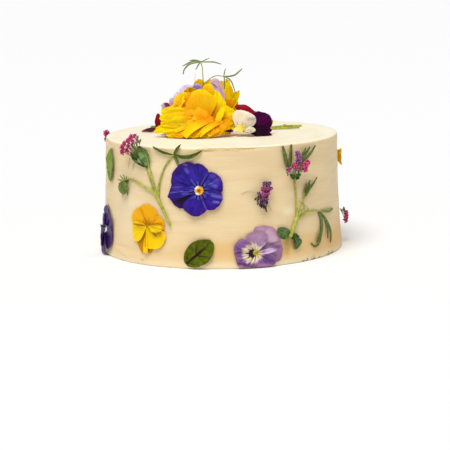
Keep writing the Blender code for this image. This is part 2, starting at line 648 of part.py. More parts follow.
def make_blossoms():
    for name, (turn, height, out, colour, lumps) in BLOSSOMS.items():
        points, faces = lump_body(lumps)
        points = points + (0.0, 0.0, out)
        points[:, 2] = np.maximum(points[:, 2], 0.05 + 0.02 * np.arange(len(points)) / len(points))
        make_object(name, on_side(turn, height)(points), faces, colour)


def make_sprigs():
    for name, sprig in SPRIGS.items():
        bodies = [stem_body(points, radius) for points, radius in sprig["stems"]]
        bodies += [needle_body(points, half_width) for points, half_width in sprig["needles"]]
        bodies += [leaf_body(*leaf) for leaf in sprig["leaves"]]
        for (across, up), half_width, half_height in sprig["buds"]:
            points, faces = lump_body(((0.0, 0.0, 0.0, 1.0),), columns=8, rows=5)
            points = points * (half_width, half_height, 2.8) + (across, up, 2.9)
            bodies.append((points, faces))
        fuse(name, bodies, on_side(*sprig["fork"]), STEM_GREEN)


def bloom_core(radii):
    """A dome with shallow folds that lean round it, standing on the cake's top."""
    rows = np.linspace(0.0, 1.0, BLOOM_ROWS)[:, None]
    around = np.arange(BLOOM_COLUMNS)[None, :] * 2 * math.pi / BLOOM_COLUMNS
    rise = np.sin(rows * BLOOM_CLOSE)
    fold = 1.0 + BLOOM_FOLD * np.sin(6 * around + 5 * rows) * np.sin(math.pi * rows + 0.3)
    girth = np.cos(rows * BLOOM_CLOSE) ** 0.7 * (0.72 + 0.28 * np.sin(math.pi * rows ** 0.7)) * fold
    grid = np.stack([radii[0] * girth * np.cos(around), radii[1] * girth * np.sin(around),
                     radii[2] * rise + 0 * around], -1)
    points = np.concatenate([[(0.0, 0.0, 0.0)], grid.reshape(-1, 3), [(0.0, 0.0, radii[2])]])
    faces = grid_faces(BLOOM_ROWS, BLOOM_COLUMNS, 1, False, closed=True)
    last = len(points) - 1
    for column in range(BLOOM_COLUMNS):
        after = (column + 1) % BLOOM_COLUMNS
        faces.append((0, 1 + after, 1 + column))
        faces.append((last, last - BLOOM_COLUMNS + column, last - BLOOM_COLUMNS + after))
    return points, faces


def bloom_petal(bearing, start_radius, start_height, end_radius, end_height, half_width):
    """One ruffled petal that leaves the bloom's core and curls out to its frilled edge."""
    along = np.linspace(0.0, 1.0, 4)[:, None]
    across = np.linspace(-1.0, 1.0, 5)[None, :]
    reach = start_radius + (end_radius - start_radius) * along * (1.0 - 0.16 * across ** 2)
    width = half_width * (0.5 + 0.5 * np.sin(math.pi / 2 * along) ** 0.6)
    height = start_height + (end_height - start_height) * along ** 1.5
    height = height + BLOOM_RUFFLE * along ** 2 * np.sin(4.2 * across + 0.05 * bearing)
    angle = math.radians(bearing)
    outward = np.array((math.cos(angle), math.sin(angle), 0.0))
    aside = np.array((-math.sin(angle), math.cos(angle), 0.0))
    grid = reach[..., None] * outward + (width * across)[..., None] * aside + height[..., None] * (0, 0, 1)
    lower = grid - (0.0, 0.0, 0.5 * BLOOM_PETAL)
    upper = grid + (0.0, 0.0, 0.5 * BLOOM_PETAL)
    lower[..., 2] = np.maximum(lower[..., 2], 0.25 + 0.3 * along)
    upper[..., 2] = np.maximum(upper[..., 2], lower[..., 2] + 0.8)
    return sheet_body(upper, lower)


def make_blooms():
    for name, (middle, radii, cups, colour, petals) in BLOOMS.items():
        foot = np.array((middle[0], middle[1], CAKE_HEIGHT + GAP))
        bodies = [bloom_core(radii)] + [bloom_petal(*petal) for petal in petals]
        for cup_middle, cup_radii in cups:
            points, faces = lump_body(((0.0, 0.0, 0.0, 1.0),))
            bodies.append((points * cup_radii + cup_middle, faces))
        fuse(name, bodies, lambda points, foot=foot: np.asarray(points, float) + foot, colour)


def make_top_flowers():
    for name, (middle, turn, tilt, spin, colour, petals) in TOP_FLOWERS.items():
        room_below = (middle[2] - CAKE_HEIGHT - TOP_GAP) / math.cos(math.radians(tilt))
        points, faces = flower_body(petals, room_below, skin=0.8)
        points = facing(middle, turn, tilt, spin)(points)
        make_object(name, points, faces, colour)


def make_top_leaves():
    for name, (base, tip, half_width, lift, colour) in TOP_LEAVES.items():
        length = math.dist(base, tip)
        points, faces = leaf_body((0.0, 0.0), (length, 0.0), half_width, 0.0, lift=0.4)
        points[:, 2] += lift * (points[:, 0] / length) ** 2
        make_object(name, on_top(base, tip)(points), faces, colour)


def make_top_stems():
    for name, (base, middle, tip, radius) in TOP_STEMS.items():
        frame = on_top((0.0, 0.0), (1.0, 0.0))
        bodies = [stem_body((base, middle, tip), radius, steps=4)]
        if name.endswith("back"):
            knot, faces = lump_body(((0.0, 0.0, 0.0, STEM_KNOT),), columns=8, rows=5)
            bodies.append((knot + (middle[0], middle[1], STEM_KNOT), faces))
        fuse(name, bodies, frame, STEM_GREEN)


def make_top_sprigs():
    for name, sprig in TOP_SPRIGS.items():
        bodies = [stem_body(points, radius, steps=6) for points, radius in sprig["stems"]]
        bodies += [needle_body(points, half_width) for points, half_width in sprig["needles"]]
        fuse(name, bodies, standing(sprig["depth"]), DARK_GREEN)


def main():
    clear_scene()
    make_cake()
    make_side_flowers()
    make_side_leaves()
    make_blossoms()
    make_sprigs()
    make_blooms()
    make_top_flowers()
    make_top_leaves()
    make_top_stems()
    make_top_sprigs()


main()
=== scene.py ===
"""The looks of a tall round buttercream cake with fresh flowers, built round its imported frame.

All lengths in the tables are millimetres and all bearings degrees, in the frame's own axes:
+Z up and the front facing -Y. A place on the side is a turn round the cake, 0 at the front and
growing towards +X, and a height. build() turns the finished points into metres.
"""

import math

import bpy
import numpy as np
from mathutils import Euler, Matrix


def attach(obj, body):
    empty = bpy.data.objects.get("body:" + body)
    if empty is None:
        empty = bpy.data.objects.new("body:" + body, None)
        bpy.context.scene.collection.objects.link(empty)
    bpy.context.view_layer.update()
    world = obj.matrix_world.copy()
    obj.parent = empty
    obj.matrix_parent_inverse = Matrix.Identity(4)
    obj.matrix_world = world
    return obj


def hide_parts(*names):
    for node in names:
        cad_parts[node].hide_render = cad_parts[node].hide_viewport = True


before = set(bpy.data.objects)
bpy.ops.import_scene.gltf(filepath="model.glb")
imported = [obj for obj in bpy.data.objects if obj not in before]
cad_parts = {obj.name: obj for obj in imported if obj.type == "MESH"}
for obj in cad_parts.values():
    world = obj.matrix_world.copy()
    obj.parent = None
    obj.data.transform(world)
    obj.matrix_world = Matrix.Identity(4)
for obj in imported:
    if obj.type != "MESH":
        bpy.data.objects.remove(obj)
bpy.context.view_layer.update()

MM = 0.001

# The iced cake, as the frame has it.
CAKE_HEIGHT = 99.5
TOP_RADIUS = 100.2
FOOT_FLARE = 4.3
FLARE_POWER = 1.6
RIM_ROUND = 2.2
FOOT_ROUND = 1.3
# Waves of the knife: lobes, start, rate, rise and depth, then lobes, lean and depth.
ICING_WAVES = ((3, 0.4, 31, 0.8, 0.35), (5, -23, 0.21))
# How much the icing's foot is taken in round one side.
FULL_TURN = 95
FULL_SPREAD = 55
FULL_DEPTH = -1
# Toppings stand this far off the icing, and end this high above the foot.
GAP = 0.35
LOWEST = 1.4
# Millimetres of the side that one degree stands for.
DEGREE_ARC = math.radians(1) * 102

# The camera: aim, distance, rise, roll and focal length in pixels of a 450 pixel frame.
AIM = (1.5, 2.4, 17.7)
CAMERA_DISTANCE = 1443
CAMERA_RISE = math.radians(10.09)
CAMERA_ROLL = math.radians(-1.19)
FOCAL = 1644
FRAME_SIZE = 450
SENSOR = 36

# The light and the floor.
WORLD_LIGHT = 0.32
KEY_LIGHT = 2.8
KEY_SPREAD = 38
KEY_TURNS = (25, 0, -16)
FLOOR_HALF = 40
FLOOR_GREY = 0.93
FARTHEST_SEEN = 200

# How thick petals and leaves are, and how low the bouquet's petals may come.
PETAL_SKIN = 0.22
LEAF_SKIN = 0.3
BLADE_SKIN = 0.26
BLADE_FLOOR = CAKE_HEIGHT + 0.45
LAYER_STEP = 0.3

# Rows and columns of points, and steps of curves.
PETAL_GRID = (28, 44)
EYE_GRID = (6, 20)
RIBBON_GRID = (30, 13)
SPRIG_LEAF_GRID = (26, 15)
HEART_GRID = (24, 48)
FLORET_SIDES = 20
NEEDLE_STEPS = 16
STEPS_A_STRETCH = 7
RIPPLE_WAVES = 5

# How far round a flower's eye is drawn, and the mark that tells the finish which part is the eye.
DOME_TURN = 1.45
EYE_MARK = 20
# Where a free petal is widest, and the height under which a bloom's petal faces up and not out.
WIDEST = 0.66
LOW_TIP = 24
# Widths and places along a floret of its rings, and how deep its lobes are cut.
FLORET_RINGS = ((0.26, -1), (0.3, -0.5), (0.36, 0), (0.72, 0.2), (1, 0.12))
LOBE_DEPTH = 0.78
# Lines of painted fold shade at least this wide are soft.
SOFT_FOLD = 1.5


def camera_axes():
    """Place, right, up and forward directions of the camera, in millimetres."""
    forward = np.array((0, math.cos(CAMERA_RISE), -math.sin(CAMERA_RISE)))
    level = np.array((1, 0, 0))
    upward = np.cross(level, forward)
    right = math.cos(CAMERA_ROLL) * level + math.sin(CAMERA_ROLL) * upward
    up = -math.sin(CAMERA_ROLL) * level + math.cos(CAMERA_ROLL) * upward
    return np.array(AIM) - CAMERA_DISTANCE * forward, right, up, forward


def seen(across, down, depth):
    """The point at y = depth that the camera sees at this place of the frame."""
    place, right, up, forward = camera_axes()
    ray = forward + (across - FRAME_SIZE / 2) / FOCAL * right - (down - FRAME_SIZE / 2) / FOCAL * up
    return place + ray * (depth - place[1]) / ray[1]


# Shapes.


def vectors(*parts):
    """Numbers and grids of numbers, side by side in one grid of vectors."""
    return np.stack(np.broadcast_arrays(*parts), -1)


def flat_with(grid, value):
    """The first two numbers of each point of a grid, with value as the third."""
    return vectors(grid[..., 0], grid[..., 1], value)


def lifted(grid, lowest):
    """The grid with no point lower than lowest."""
    grid[..., 2] = np.maximum(grid[..., 2], lowest)
    return grid


def unit(arrows):
    """The same directions, each with a length of 1."""
    return arrows / np.maximum(np.linalg.norm(arrows, axis=-1, keepdims=True), 1e-9)


def shares(rows, columns, first=0):
    """Places on a petal: first to 1 along it, down the rows, and -1 to 1 across it."""
    return np.linspace(first, 1, rows)[:, None], np.linspace(-1, 1, columns)[None, :]


def all_round(count):
    """Even angles round a circle."""
    return np.arange(count) * 2 * math.pi / count


def away_from(turn, middle):
    """Degrees from middle round to turn, between -180 and 180."""
    return (turn - middle + 180) % 360 - 180


def spot(turn, height, middle, level, wide, high, across=2, upward=2):
    """A soft spot on the icing: 1 in its middle and falling to 0, the flatter the higher the powers."""
    away = np.abs(away_from(turn, middle) / wide)
    return np.exp(-away ** across - np.abs((height - level) / high) ** upward)


def icing_radius(turn, height):
    """Radius of the iced side at a turn in degrees and a height, with the knife's low waves."""
    part = np.clip(1 - np.asarray(height, float) / CAKE_HEIGHT, 0, 1)
    angle = np.radians(turn)
    (lobes, start, rate, rise, depth), (more, lean, shallow) = ICING_WAVES
    wave = depth * np.sin(lobes * angle + start) * np.sin(height / rate + rise)
    wave = wave + shallow * np.sin(more * angle + height / lean)
    full = FULL_DEPTH * np.exp(-((away_from(np.asarray(turn, float), FULL_TURN) / FULL_SPREAD) ** 2))
    return TOP_RADIUS + FOOT_FLARE * part ** FLARE_POWER + wave + full * part


def on_side(turn, height):
    """A function that wraps flat points (across, up, out) on to the icing at this place."""

    def wrap(points):
        points = np.asarray(points, float)
        angle = turn + points[..., 0] / DEGREE_ARC
        level = height + points[..., 1]
        radius = icing_radius(angle, level) + GAP + points[..., 2]
        angle = np.radians(angle)
        return vectors(radius * np.sin(angle), -radius * np.cos(angle), level)

    return wrap


def facing(middle, turn, tilt):
    """A function that stands flat points up at middle, facing -Y before the turn and the tilt back."""
    turned = Euler((0, 0, math.radians(turn))).to_matrix()
    matrix = np.array(turned @ Euler((math.radians(90 - tilt), 0, 0)).to_matrix())
    return lambda points: np.asarray(points, float) @ matrix.T + np.asarray(middle, float)


def standing(depth):
    """A function that stands flat points (across, height, out) in the plane y = depth."""
    return lambda points: vectors(points[..., 0], depth - points[..., 2], points[..., 1])


def ripple(values, seed, rate=1):
    """A smooth irregular wave between about -1 and 1, the same for the same seed."""
    draw = np.random.default_rng(seed)
    total = np.zeros_like(np.asarray(values, float))
    for index in range(RIPPLE_WAVES):
        pace = rate * (1 + index * 0.83 + draw.uniform(0, 0.5))
        total = total + np.sin(pace * values + draw.uniform(0, 6.28)) / (1 + 0.6 * index)
    return total / 1.8


class Piece:
    """Closed bodies gathered under one name, with two vectors at each point for the finish to read.

    "place" is where the point lies on its flower or leaf in millimetres and which petal it is on.
    "petal" runs from heart to edge, from side to side, and holds the petal's own shade.
    """

    def __init__(self, name):
        self.name = name
        self.points, self.place, self.petal, self.faces = [], [], [], []
        self.count = 0

    def add(self, points, faces, place, petal):
        flat = np.asarray(points, float).reshape(-1, 3)
        self.points.append(flat)
        self.place.append(np.broadcast_to(np.asarray(place, float), points.shape).reshape(-1, 3))
        self.petal.append(np.broadcast_to(np.asarray(petal, float), points.shape).reshape(-1, 3))
        self.faces += [[index + self.count for index in face] for face in faces]
        self.count += len(flat)

    def add_sheet(self, upper, lower, place, petal):
        """A thin body between two like grids."""
        rows, columns = upper.shape[:2]
        self.add(np.stack([upper, lower]), sheet_faces(rows, columns), np.stack([place, place]),
                 np.stack([petal, petal]))

    def build(self, finish, slot, *nodes, sharp=60):
        mesh = bpy.data.meshes.new(self.name)
        mesh.from_pydata((np.concatenate(self.points) * MM).tolist(), [], self.faces)
        for name, values in (("place", self.place), ("petal", self.petal)):
            layer = mesh.attributes.new(name, "FLOAT_VECTOR", "POINT")
            layer.data.foreach_set("vector", np.concatenate(values).astype(np.float32).ravel())
        mesh.shade_smooth()
        mesh.set_sharp_from_angle(angle=math.radians(sharp))
        mesh.materials.append(finish)
        made = bpy.data.objects.new(self.name, mesh)
        bpy.context.scene.collection.objects.link(made)
        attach(made, "root")
        if nodes:
            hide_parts(*nodes)
        return made


def grid_quads(rows, columns, start=0, flip=False, closed=False):
    faces = []
    for row in range(rows - 1):
        for column in range(columns if closed else columns - 1):
            after = (column + 1) % columns
            face = [start + row * columns + column, start + row * columns + after,
                    start + (row + 1) * columns + after, start + (row + 1) * columns + column]
            faces.append(face[::-1] if flip else face)
    return faces


def sheet_faces(rows, columns):
    """Upper face, lower face and rim of a thin body between two like grids."""
    count = rows * columns
    faces = grid_quads(rows, columns) + grid_quads(rows, columns, count, True)
    rim = list(range(columns))
    rim += [row * columns + columns - 1 for row in range(1, rows)]
    rim += [(rows - 1) * columns + column for column in range(columns - 2, -1, -1)]
    rim += [row * columns for row in range(rows - 2, 0, -1)]
    for here, after in zip(rim, rim[1:] + rim[:1]):
        faces.append([after, here, here + count, after + count])
    return faces


def tube_faces(rings, sides):
    """Side and two end faces of a tube."""
    faces = grid_quads(rings, sides, 0, True, closed=True)
    faces.append(list(range(sides)))
    faces.append([(rings - 1) * sides + side for side in range(sides - 1, -1, -1)])
    return faces


def normals_of(grid):
    """Unit normals of a grid of points."""
    return unit(np.cross(np.gradient(grid, axis=1), np.gradient(grid, axis=0)))


def smooth_route(points, steps):
    """Points along a Catmull-Rom curve through the given ones."""
    points = [np.asarray(point, float) for point in points]
    points = [2 * points[0] - points[1]] + points + [2 * points[-1] - points[-2]]
    stretches = len(points) - 3
    route = []
    for step in range(steps + 1):
        place = step / steps * stretches
        index = min(int(place), stretches - 1)
        t = place - index
        a, b, c, d = points[index:index + 4]
        route.append(0.5 * (2 * b + (c - a) * t + (2 * a - 5 * b + 4 * c - d) * t ** 2
                            + (3 * b - a - 3 * c + d) * t ** 3))
    return np.array(route)


def flat_petal(piece, wrap, petal, index, room, ruffle=0.3):
    """One petal of a flat flower, from the heart to an edge given as (bearing, reach) points."""
    edge, lift, layer, shade = petal
    s, t = shares(*PETAL_GRID, first=0.05)
    route = smooth_route(edge if edge[0][0] < edge[-1][0] else edge[::-1], t.size - 1)
    angle = np.radians(route[:, 0])
    wavy = 1 + 0.012 * ripple(5 * t, index + 3) + 0.006 * ripple(15 * t, index + 9)
    reach = route[:, 1] * wavy * (1 - 0.3 * np.abs(t) ** 16)
    radius = np.minimum(reach, room / np.maximum(-np.sin(angle), 1e-3))
    across, up = s * radius * np.cos(angle), s * radius * np.sin(angle)
    wave = ruffle * s ** 2 * ripple(6 * t + 0.6 * s, index + 21)
    pleats = 0.15 * (np.sin(13 * t + 2 * s) + 0.6 * np.sin(29 * t + index)) * s * (1.3 - s)
    out = 0.1 + LAYER_STEP * layer + lift * s ** 1.7 * (0.7 + 0.3 * t ** 2) + wave + pleats
    flat = vectors(across, up, np.maximum(out, 0.06 + 0.05 * layer))
    piece.add_sheet(wrap(flat + (0, 0, PETAL_SKIN)), wrap(flat), vectors(across, up, index),
                    vectors(s, t, shade))


def fan(bearing, reach, spread, blunt=0.82):
    """A plain round petal's edge, as (bearing, reach) points."""
    shape = ((-1, 0.52), (-0.8, blunt), (-0.45, 0.96), (0, 1), (0.45, 0.96), (0.8, blunt), (1, 0.52))
    return tuple((bearing + spread * side, reach * part) for side, part in shape)


def flower_eye(piece, wrap, radius, height):
    """The small raised eye in the heart of a flat flower."""
    rows, columns = EYE_GRID
    rise = np.linspace(0, 1, rows)[:, None]
    around = all_round(columns)
    girth = radius * np.cos(rise * DOME_TURN) * (1 + 0.08 * np.sin(5 * around + 1))
    flat = vectors(girth * np.cos(around), girth * np.sin(around), 0.1 + height * np.sin(rise * DOME_TURN))
    piece.add(wrap(flat), tube_faces(rows, columns), flat_with(flat, EYE_MARK),
              vectors(0.1 * (1 - rise), 0 * around, 0))


def tube(piece, wrap, points, radii, sides=10, steps=None, shade=0.5, flatten=1, groove=0, rest=True):
    """A round or flattened stem or needle along a flat route, lying on out = 0."""
    steps = steps or STEPS_A_STRETCH * (len(points) - 1)
    route = smooth_route(points, steps)
    heading = unit(np.gradient(route, axis=0))
    across = vectors(-heading[:, 1], heading[:, 0])
    along = np.linspace(0, 1, steps + 1)
    radii = np.interp(along, np.linspace(0, 1, len(radii)), radii)
    around = all_round(sides) + math.pi / 2
    dip = 1 - groove * np.exp(-(((around - math.pi / 2) / 0.5) ** 2))
    out = route[:, 2:] if route.shape[1] == 3 else 0
    flat = route[:, None, :2] + (np.cos(around) * dip)[None, :, None] * radii[:, None, None] * across[:, None]
    middle = (radii * flatten)[:, None]
    high = out + (middle if rest else 0) + middle * np.sin(around) * dip
    piece.add(wrap(vectors(flat[..., 0], flat[..., 1], high)), tube_faces(steps + 1, sides),
              flat_with(flat, shade), vectors(along[:, None], np.cos(around), shade))


def needle(piece, wrap, points, half_width, shade=0.4, lift=0, blunt=0.42):
    """A narrow leaf like rosemary's: fullest near its middle, with rolled sides and a pale keel."""
    route = smooth_route(points, NEEDLE_STEPS)
    if lift:
        rise = lift * np.linspace(0, 1, len(route)) ** 1.5
        route = np.concatenate([route, rise[:, None]], 1)
    fullness = np.sin(np.linspace(blunt, 3.2 - blunt, NEEDLE_STEPS + 1)) ** 0.65
    tube(piece, wrap, route, half_width * fullness, steps=NEEDLE_STEPS, shade=shade, flatten=0.55,
         groove=0.55)


def leaf(piece, wrap, base, tip, half_width, bow=0, lift=0.8, cup=0.8, shade=0.3, seed=1, point=0.75,
         notches=0, grid=(34, 25)):
    """A broad leaf between two points of the plane, with a sunken midrib and a wavy edge."""
    base, tip = np.asarray(base, float), np.asarray(tip, float)
    axis = tip - base
    length = np.linalg.norm(axis)
    side = np.array((-axis[1], axis[0])) / length
    u, v = shares(*grid)
    width = half_width * np.maximum(np.sin(math.pi * (0.02 + 0.96 * u)), 0) ** point
    if notches:
        width = width * (1 - notches * (0.5 + 0.5 * np.sin(46 * u)) * (u < 0.92))
    width = width * (1 + 0.03 * ripple(9 * u, seed))
    flat = base + u[..., None] * axis + (v * width + bow * np.sin(math.pi * u))[..., None] * side
    wave = lift * (0.5 + 0.5 * ripple(5 * u + 0.8 * v, seed + 4)) * np.abs(v) + cup * v ** 2
    veins = 0.1 * np.sin(26 * (u - 0.35 * np.abs(v))) * np.abs(v)
    rib = 0.35 * np.exp(-((v * width / 0.6) ** 2))
    out = 0.12 + wave * np.sin(math.pi * u) ** 0.5 + veins - rib + 0.35
    lower = vectors(flat[..., 0], flat[..., 1], np.maximum(out, 0.08))
    piece.add_sheet(wrap(lower + (0, 0, LEAF_SKIN)), wrap(lower), vectors(u * length, v * width, shade),
                    vectors(u, v, shade))


def blade(piece, root, tip, face, width, belly, cup, ruffle, seed, shade, curl=0, waves=3, neck=0.35,
          round_tip=0.3, flare=1.2, ragged=0.03, pleat=0.012, grid=(18, 26)):
    """A free curved petal from root to tip, its inner face turned towards face."""
    root, tip, face = (np.asarray(value, float) for value in (root, tip, face))
    axis = tip - root
    length = np.linalg.norm(axis)
    axis = axis / length
    normal = face - (face @ axis) * axis
    normal /= np.linalg.norm(normal)
    u, v = shares(*grid)
    swell = np.sin(math.pi / 2 * np.clip(u / WIDEST, 0, 1)) ** flare
    half = width * (neck + (1 - neck) * swell) * (1 - 0.22 * np.clip((u - WIDEST) / 0.34, 0, 1) ** 2)
    along = length * (u - round_tip * np.abs(v) ** 2.4 * u ** 2.5)
    along = along * (1 + ragged * u ** 3 * ripple(8 * v, seed + 40, rate=1.6))
    wave = ripple(waves * v + 1.2 * u, seed) + 0.45 * ripple(2.7 * waves * v - 2 * u, seed + 7)
    rise = belly * length * np.sin(math.pi * np.clip(u, 0, 1)) ** 0.9 + cup * half * v ** 2
    rise = rise + curl * length * u ** 2.6 + ruffle * length * u ** 1.6 * wave
    rise = rise + pleat * length * (np.sin(11 * v + 2 * u + seed) + 0.5 * np.sin(23 * v)) * u
    sheet = root + along[..., None] * axis + (half * v)[..., None] * np.cross(axis, normal)
    sheet = lifted(sheet + rise[..., None] * normal,
                   BLADE_FLOOR + 0.25 * (1 + ripple(4 * v + 3 * u, seed + 2)) * 0.5)
    out = 0.5 * BLADE_SKIN * normals_of(sheet)
    piece.add_sheet(sheet + out, lifted(sheet - out, BLADE_FLOOR - 0.1), vectors(along, half * v, seed % 17),
                    vectors(u, v, shade))


def ribbon(piece, route, half_widths, face, seed, shade):
    """A narrow bent petal along a route of points in space."""
    u, v = shares(*RIBBON_GRID)
    spine = smooth_route(route, u.size - 1)
    heading = unit(np.gradient(spine, axis=0))
    face = np.asarray(face, float)
    normal = unit(face - (heading @ face)[:, None] * heading)
    side = np.cross(heading, normal)
    half = np.interp(u[:, 0], np.linspace(0, 1, len(half_widths)), half_widths)[:, None]
    rise = 0.3 * half * v ** 2 + 0.05 * half * ripple(4 * u + 2 * v, seed)
    sheet = spine[:, None] + (half * v)[..., None] * side[:, None] + rise[..., None] * normal[:, None]
    sheet = lifted(sheet, BLADE_FLOOR)
    out = 0.5 * BLADE_SKIN * normals_of(sheet)
    piece.add_sheet(sheet + out, sheet - out, vectors(u * 20, half * v, seed % 17), vectors(u, v, shade))


def floret(piece, wrap, middle, way, size, shade, seed, length):
    """A tiny open flower: a tube that widens to five lobes."""
    way = way / np.linalg.norm(way)
    first = np.cross(way, (0, 1, 0) if abs(way[1]) < 0.8 else (1, 0, 0))
    first /= np.linalg.norm(first)
    second = np.cross(way, first)
    around = all_round(FLORET_SIDES)
    lobes = 0.5 + 0.5 * np.cos(5 * around + 0.7 * seed)
    circle = np.cos(around)[:, None] * first + np.sin(around)[:, None] * second
    rings = []
    for index, (spread, rise) in enumerate(FLORET_RINGS):
        girth = size * spread * (1 - (LOBE_DEPTH * (1 - lobes ** 0.7) if index > 2 else 0)) + 0 * around
        level = rise * length + 0.12 * size * ripple(2 * around, seed) * (index > 2)
        level = level - (0.3 * size * (1 - lobes) if index == 4 else 0)
        rings.append(girth[:, None] * circle + level[:, None] * way)
    outer = lifted(np.stack(rings) + middle, 0.1)
    inner = lifted(outer - 0.12 * way, 0.05)
    u = np.linspace(0, 1, len(rings))[:, None]
    count = len(rings) * FLORET_SIDES
    faces = grid_quads(len(rings), FLORET_SIDES, 0, True, closed=True)
    faces += grid_quads(len(rings), FLORET_SIDES, count, False, closed=True)
    edge = count - FLORET_SIDES
    for column in range(FLORET_SIDES):
        after = (column + 1) % FLORET_SIDES
        faces.append([edge + column, edge + after, edge + after + count, edge + column + count])
    faces.append(list(range(FLORET_SIDES)))
    faces.append(list(range(count + FLORET_SIDES - 1, count - 1, -1)))
    place, marks = vectors(u, 0 * around, seed), vectors(u, lobes, shade)
    piece.add(wrap(np.stack([outer, inner])), faces, np.stack([place, place]), np.stack([marks, marks]))


def bead(piece, wrap, middle, radii, shade, columns=14, rows=8, lump=0.08, seed=1):
    """A small lumpy rounded body, such as a bud or a calyx."""
    polar = np.linspace(0.08, math.pi - 0.08, rows)[:, None]
    around = all_round(columns)
    girth = 1 + lump * np.sin(5 * around + seed) * np.sin(polar)
    ball = vectors(np.sin(polar) * np.cos(around) * girth, np.cos(polar),
                   np.sin(polar) * np.sin(around) * girth)
    ball = lifted(ball * radii + middle, 0.05)
    piece.add(wrap(ball), tube_faces(rows, columns), flat_with(ball, shade),
              vectors(polar / math.pi, np.sin(around), shade))


# Finishes.


class Wire:
    """A shader value. Arithmetic with it adds Math nodes to its material."""

    def __init__(self, tree, socket):
        self.tree, self.socket = tree, socket

    def math(self, operation, *others, clamp=False):
        node = self.tree.nodes.new("ShaderNodeMath")
        node.operation = operation
        node.use_clamp = clamp
        for slot, value in zip(node.inputs, (self, *others)):
            feed(self.tree, slot, value)
        return Wire(self.tree, node.outputs[0])

    def __add__(self, other):
        return self.math("ADD", other)

    def __sub__(self, other):
        return self.math("SUBTRACT", other)

    def __rsub__(self, other):
        return self.math("MULTIPLY_ADD", -1, other)

    def __mul__(self, other):
        return self.math("MULTIPLY", other)

    def __truediv__(self, other):
        return self.math("DIVIDE", other)

    def __pow__(self, other):
        return self.math("POWER", other)

    def __abs__(self):
        return self.math("ABSOLUTE")

    __radd__ = __add__
    __rmul__ = __mul__

    def sine(self):
        return self.math("SINE")

    def ramp(self, low, high):
        """0 before low and 1 after high, smooth between. With low above high it falls instead."""
        node = self.tree.nodes.new("ShaderNodeMapRange")
        node.interpolation_type = "SMOOTHSTEP"
        for name, value in (("Value", self), ("From Min", low), ("From Max", high)):
            feed(self.tree, node.inputs[name], value)
        return Wire(self.tree, node.outputs["Result"])


def feed(tree, slot, value):
    """Links a wire to a socket, or sets the socket to a number or a colour."""
    if isinstance(value, Wire):
        tree.links.new(value.socket, slot)
    else:
        slot.default_value = (*linear(value), 1) if isinstance(value, str) else value


class Finish:
    """A procedural material in the making. Its colour is built up coat by coat."""

    def __init__(self, name, roughness, sockets=()):
        self.material = bpy.data.materials.new(name)
        self.material.use_nodes = True
        self.tree = self.material.node_tree
        self.shader = self.tree.nodes["Principled BSDF"]
        self.colour = None
        for socket, value in {"Roughness": roughness, **dict(sockets)}.items():
            self.shader.inputs[socket].default_value = value

    def read(self, name):
        """The three numbers of a vector kept at the mesh's points."""
        node = self.tree.nodes.new("ShaderNodeAttribute")
        node.attribute_name = name
        split = self.tree.nodes.new("ShaderNodeSeparateXYZ")
        self.tree.links.new(node.outputs["Vector"], split.inputs[0])
        return [Wire(self.tree, socket) for socket in split.outputs]

    def noise(self, x, y, z, detail=2, distortion=0):
        join = self.tree.nodes.new("ShaderNodeCombineXYZ")
        for slot, value in zip(join.inputs, (x, y, z)):
            feed(self.tree, slot, value)
        node = self.tree.nodes.new("ShaderNodeTexNoise")
        for name, value in (("Scale", 1), ("Detail", detail), ("Distortion", distortion)):
            node.inputs[name].default_value = value
        self.tree.links.new(join.outputs[0], node.inputs["Vector"])
        return Wire(self.tree, node.outputs[0])

    def mix(self, share, first, second):
        """A colour between two others, each a colour or a wire."""
        node = self.tree.nodes.new("ShaderNodeMix")
        node.data_type = "RGBA"
        for slot, value in ((node.inputs[0], share), (node.inputs[6], first), (node.inputs[7], second)):
            feed(self.tree, slot, value)
        return Wire(self.tree, node.outputs[2])

    def coat(self, share, colour):
        """Lays a colour over what is there, by its share at each point."""
        self.colour = self.mix(share, self.colour, colour)

    def done(self, height=None, strength=0.3, distance=0.0004):
        """The material, with a bump from a height if one is given."""
        feed(self.tree, self.shader.inputs["Base Color"], self.colour)
        if height is not None:
            bump = self.tree.nodes.new("ShaderNodeBump")
            for name, value in (("Strength", strength), ("Distance", distance), ("Height", height)):
                feed(self.tree, bump.inputs[name], value)
            self.tree.links.new(bump.outputs[0], self.shader.inputs["Normal"])
        return self.material


def linear(code):
    """A screen colour such as "#f0d8a0" in the renderer's own linear scale."""
    parts = [int(code[start:start + 2], 16) / 255 for start in (1, 3, 5)]
    return [part / 12.92 if part <= 0.04045 else ((part + 0.055) / 1.055) ** 2.4 for part in parts]


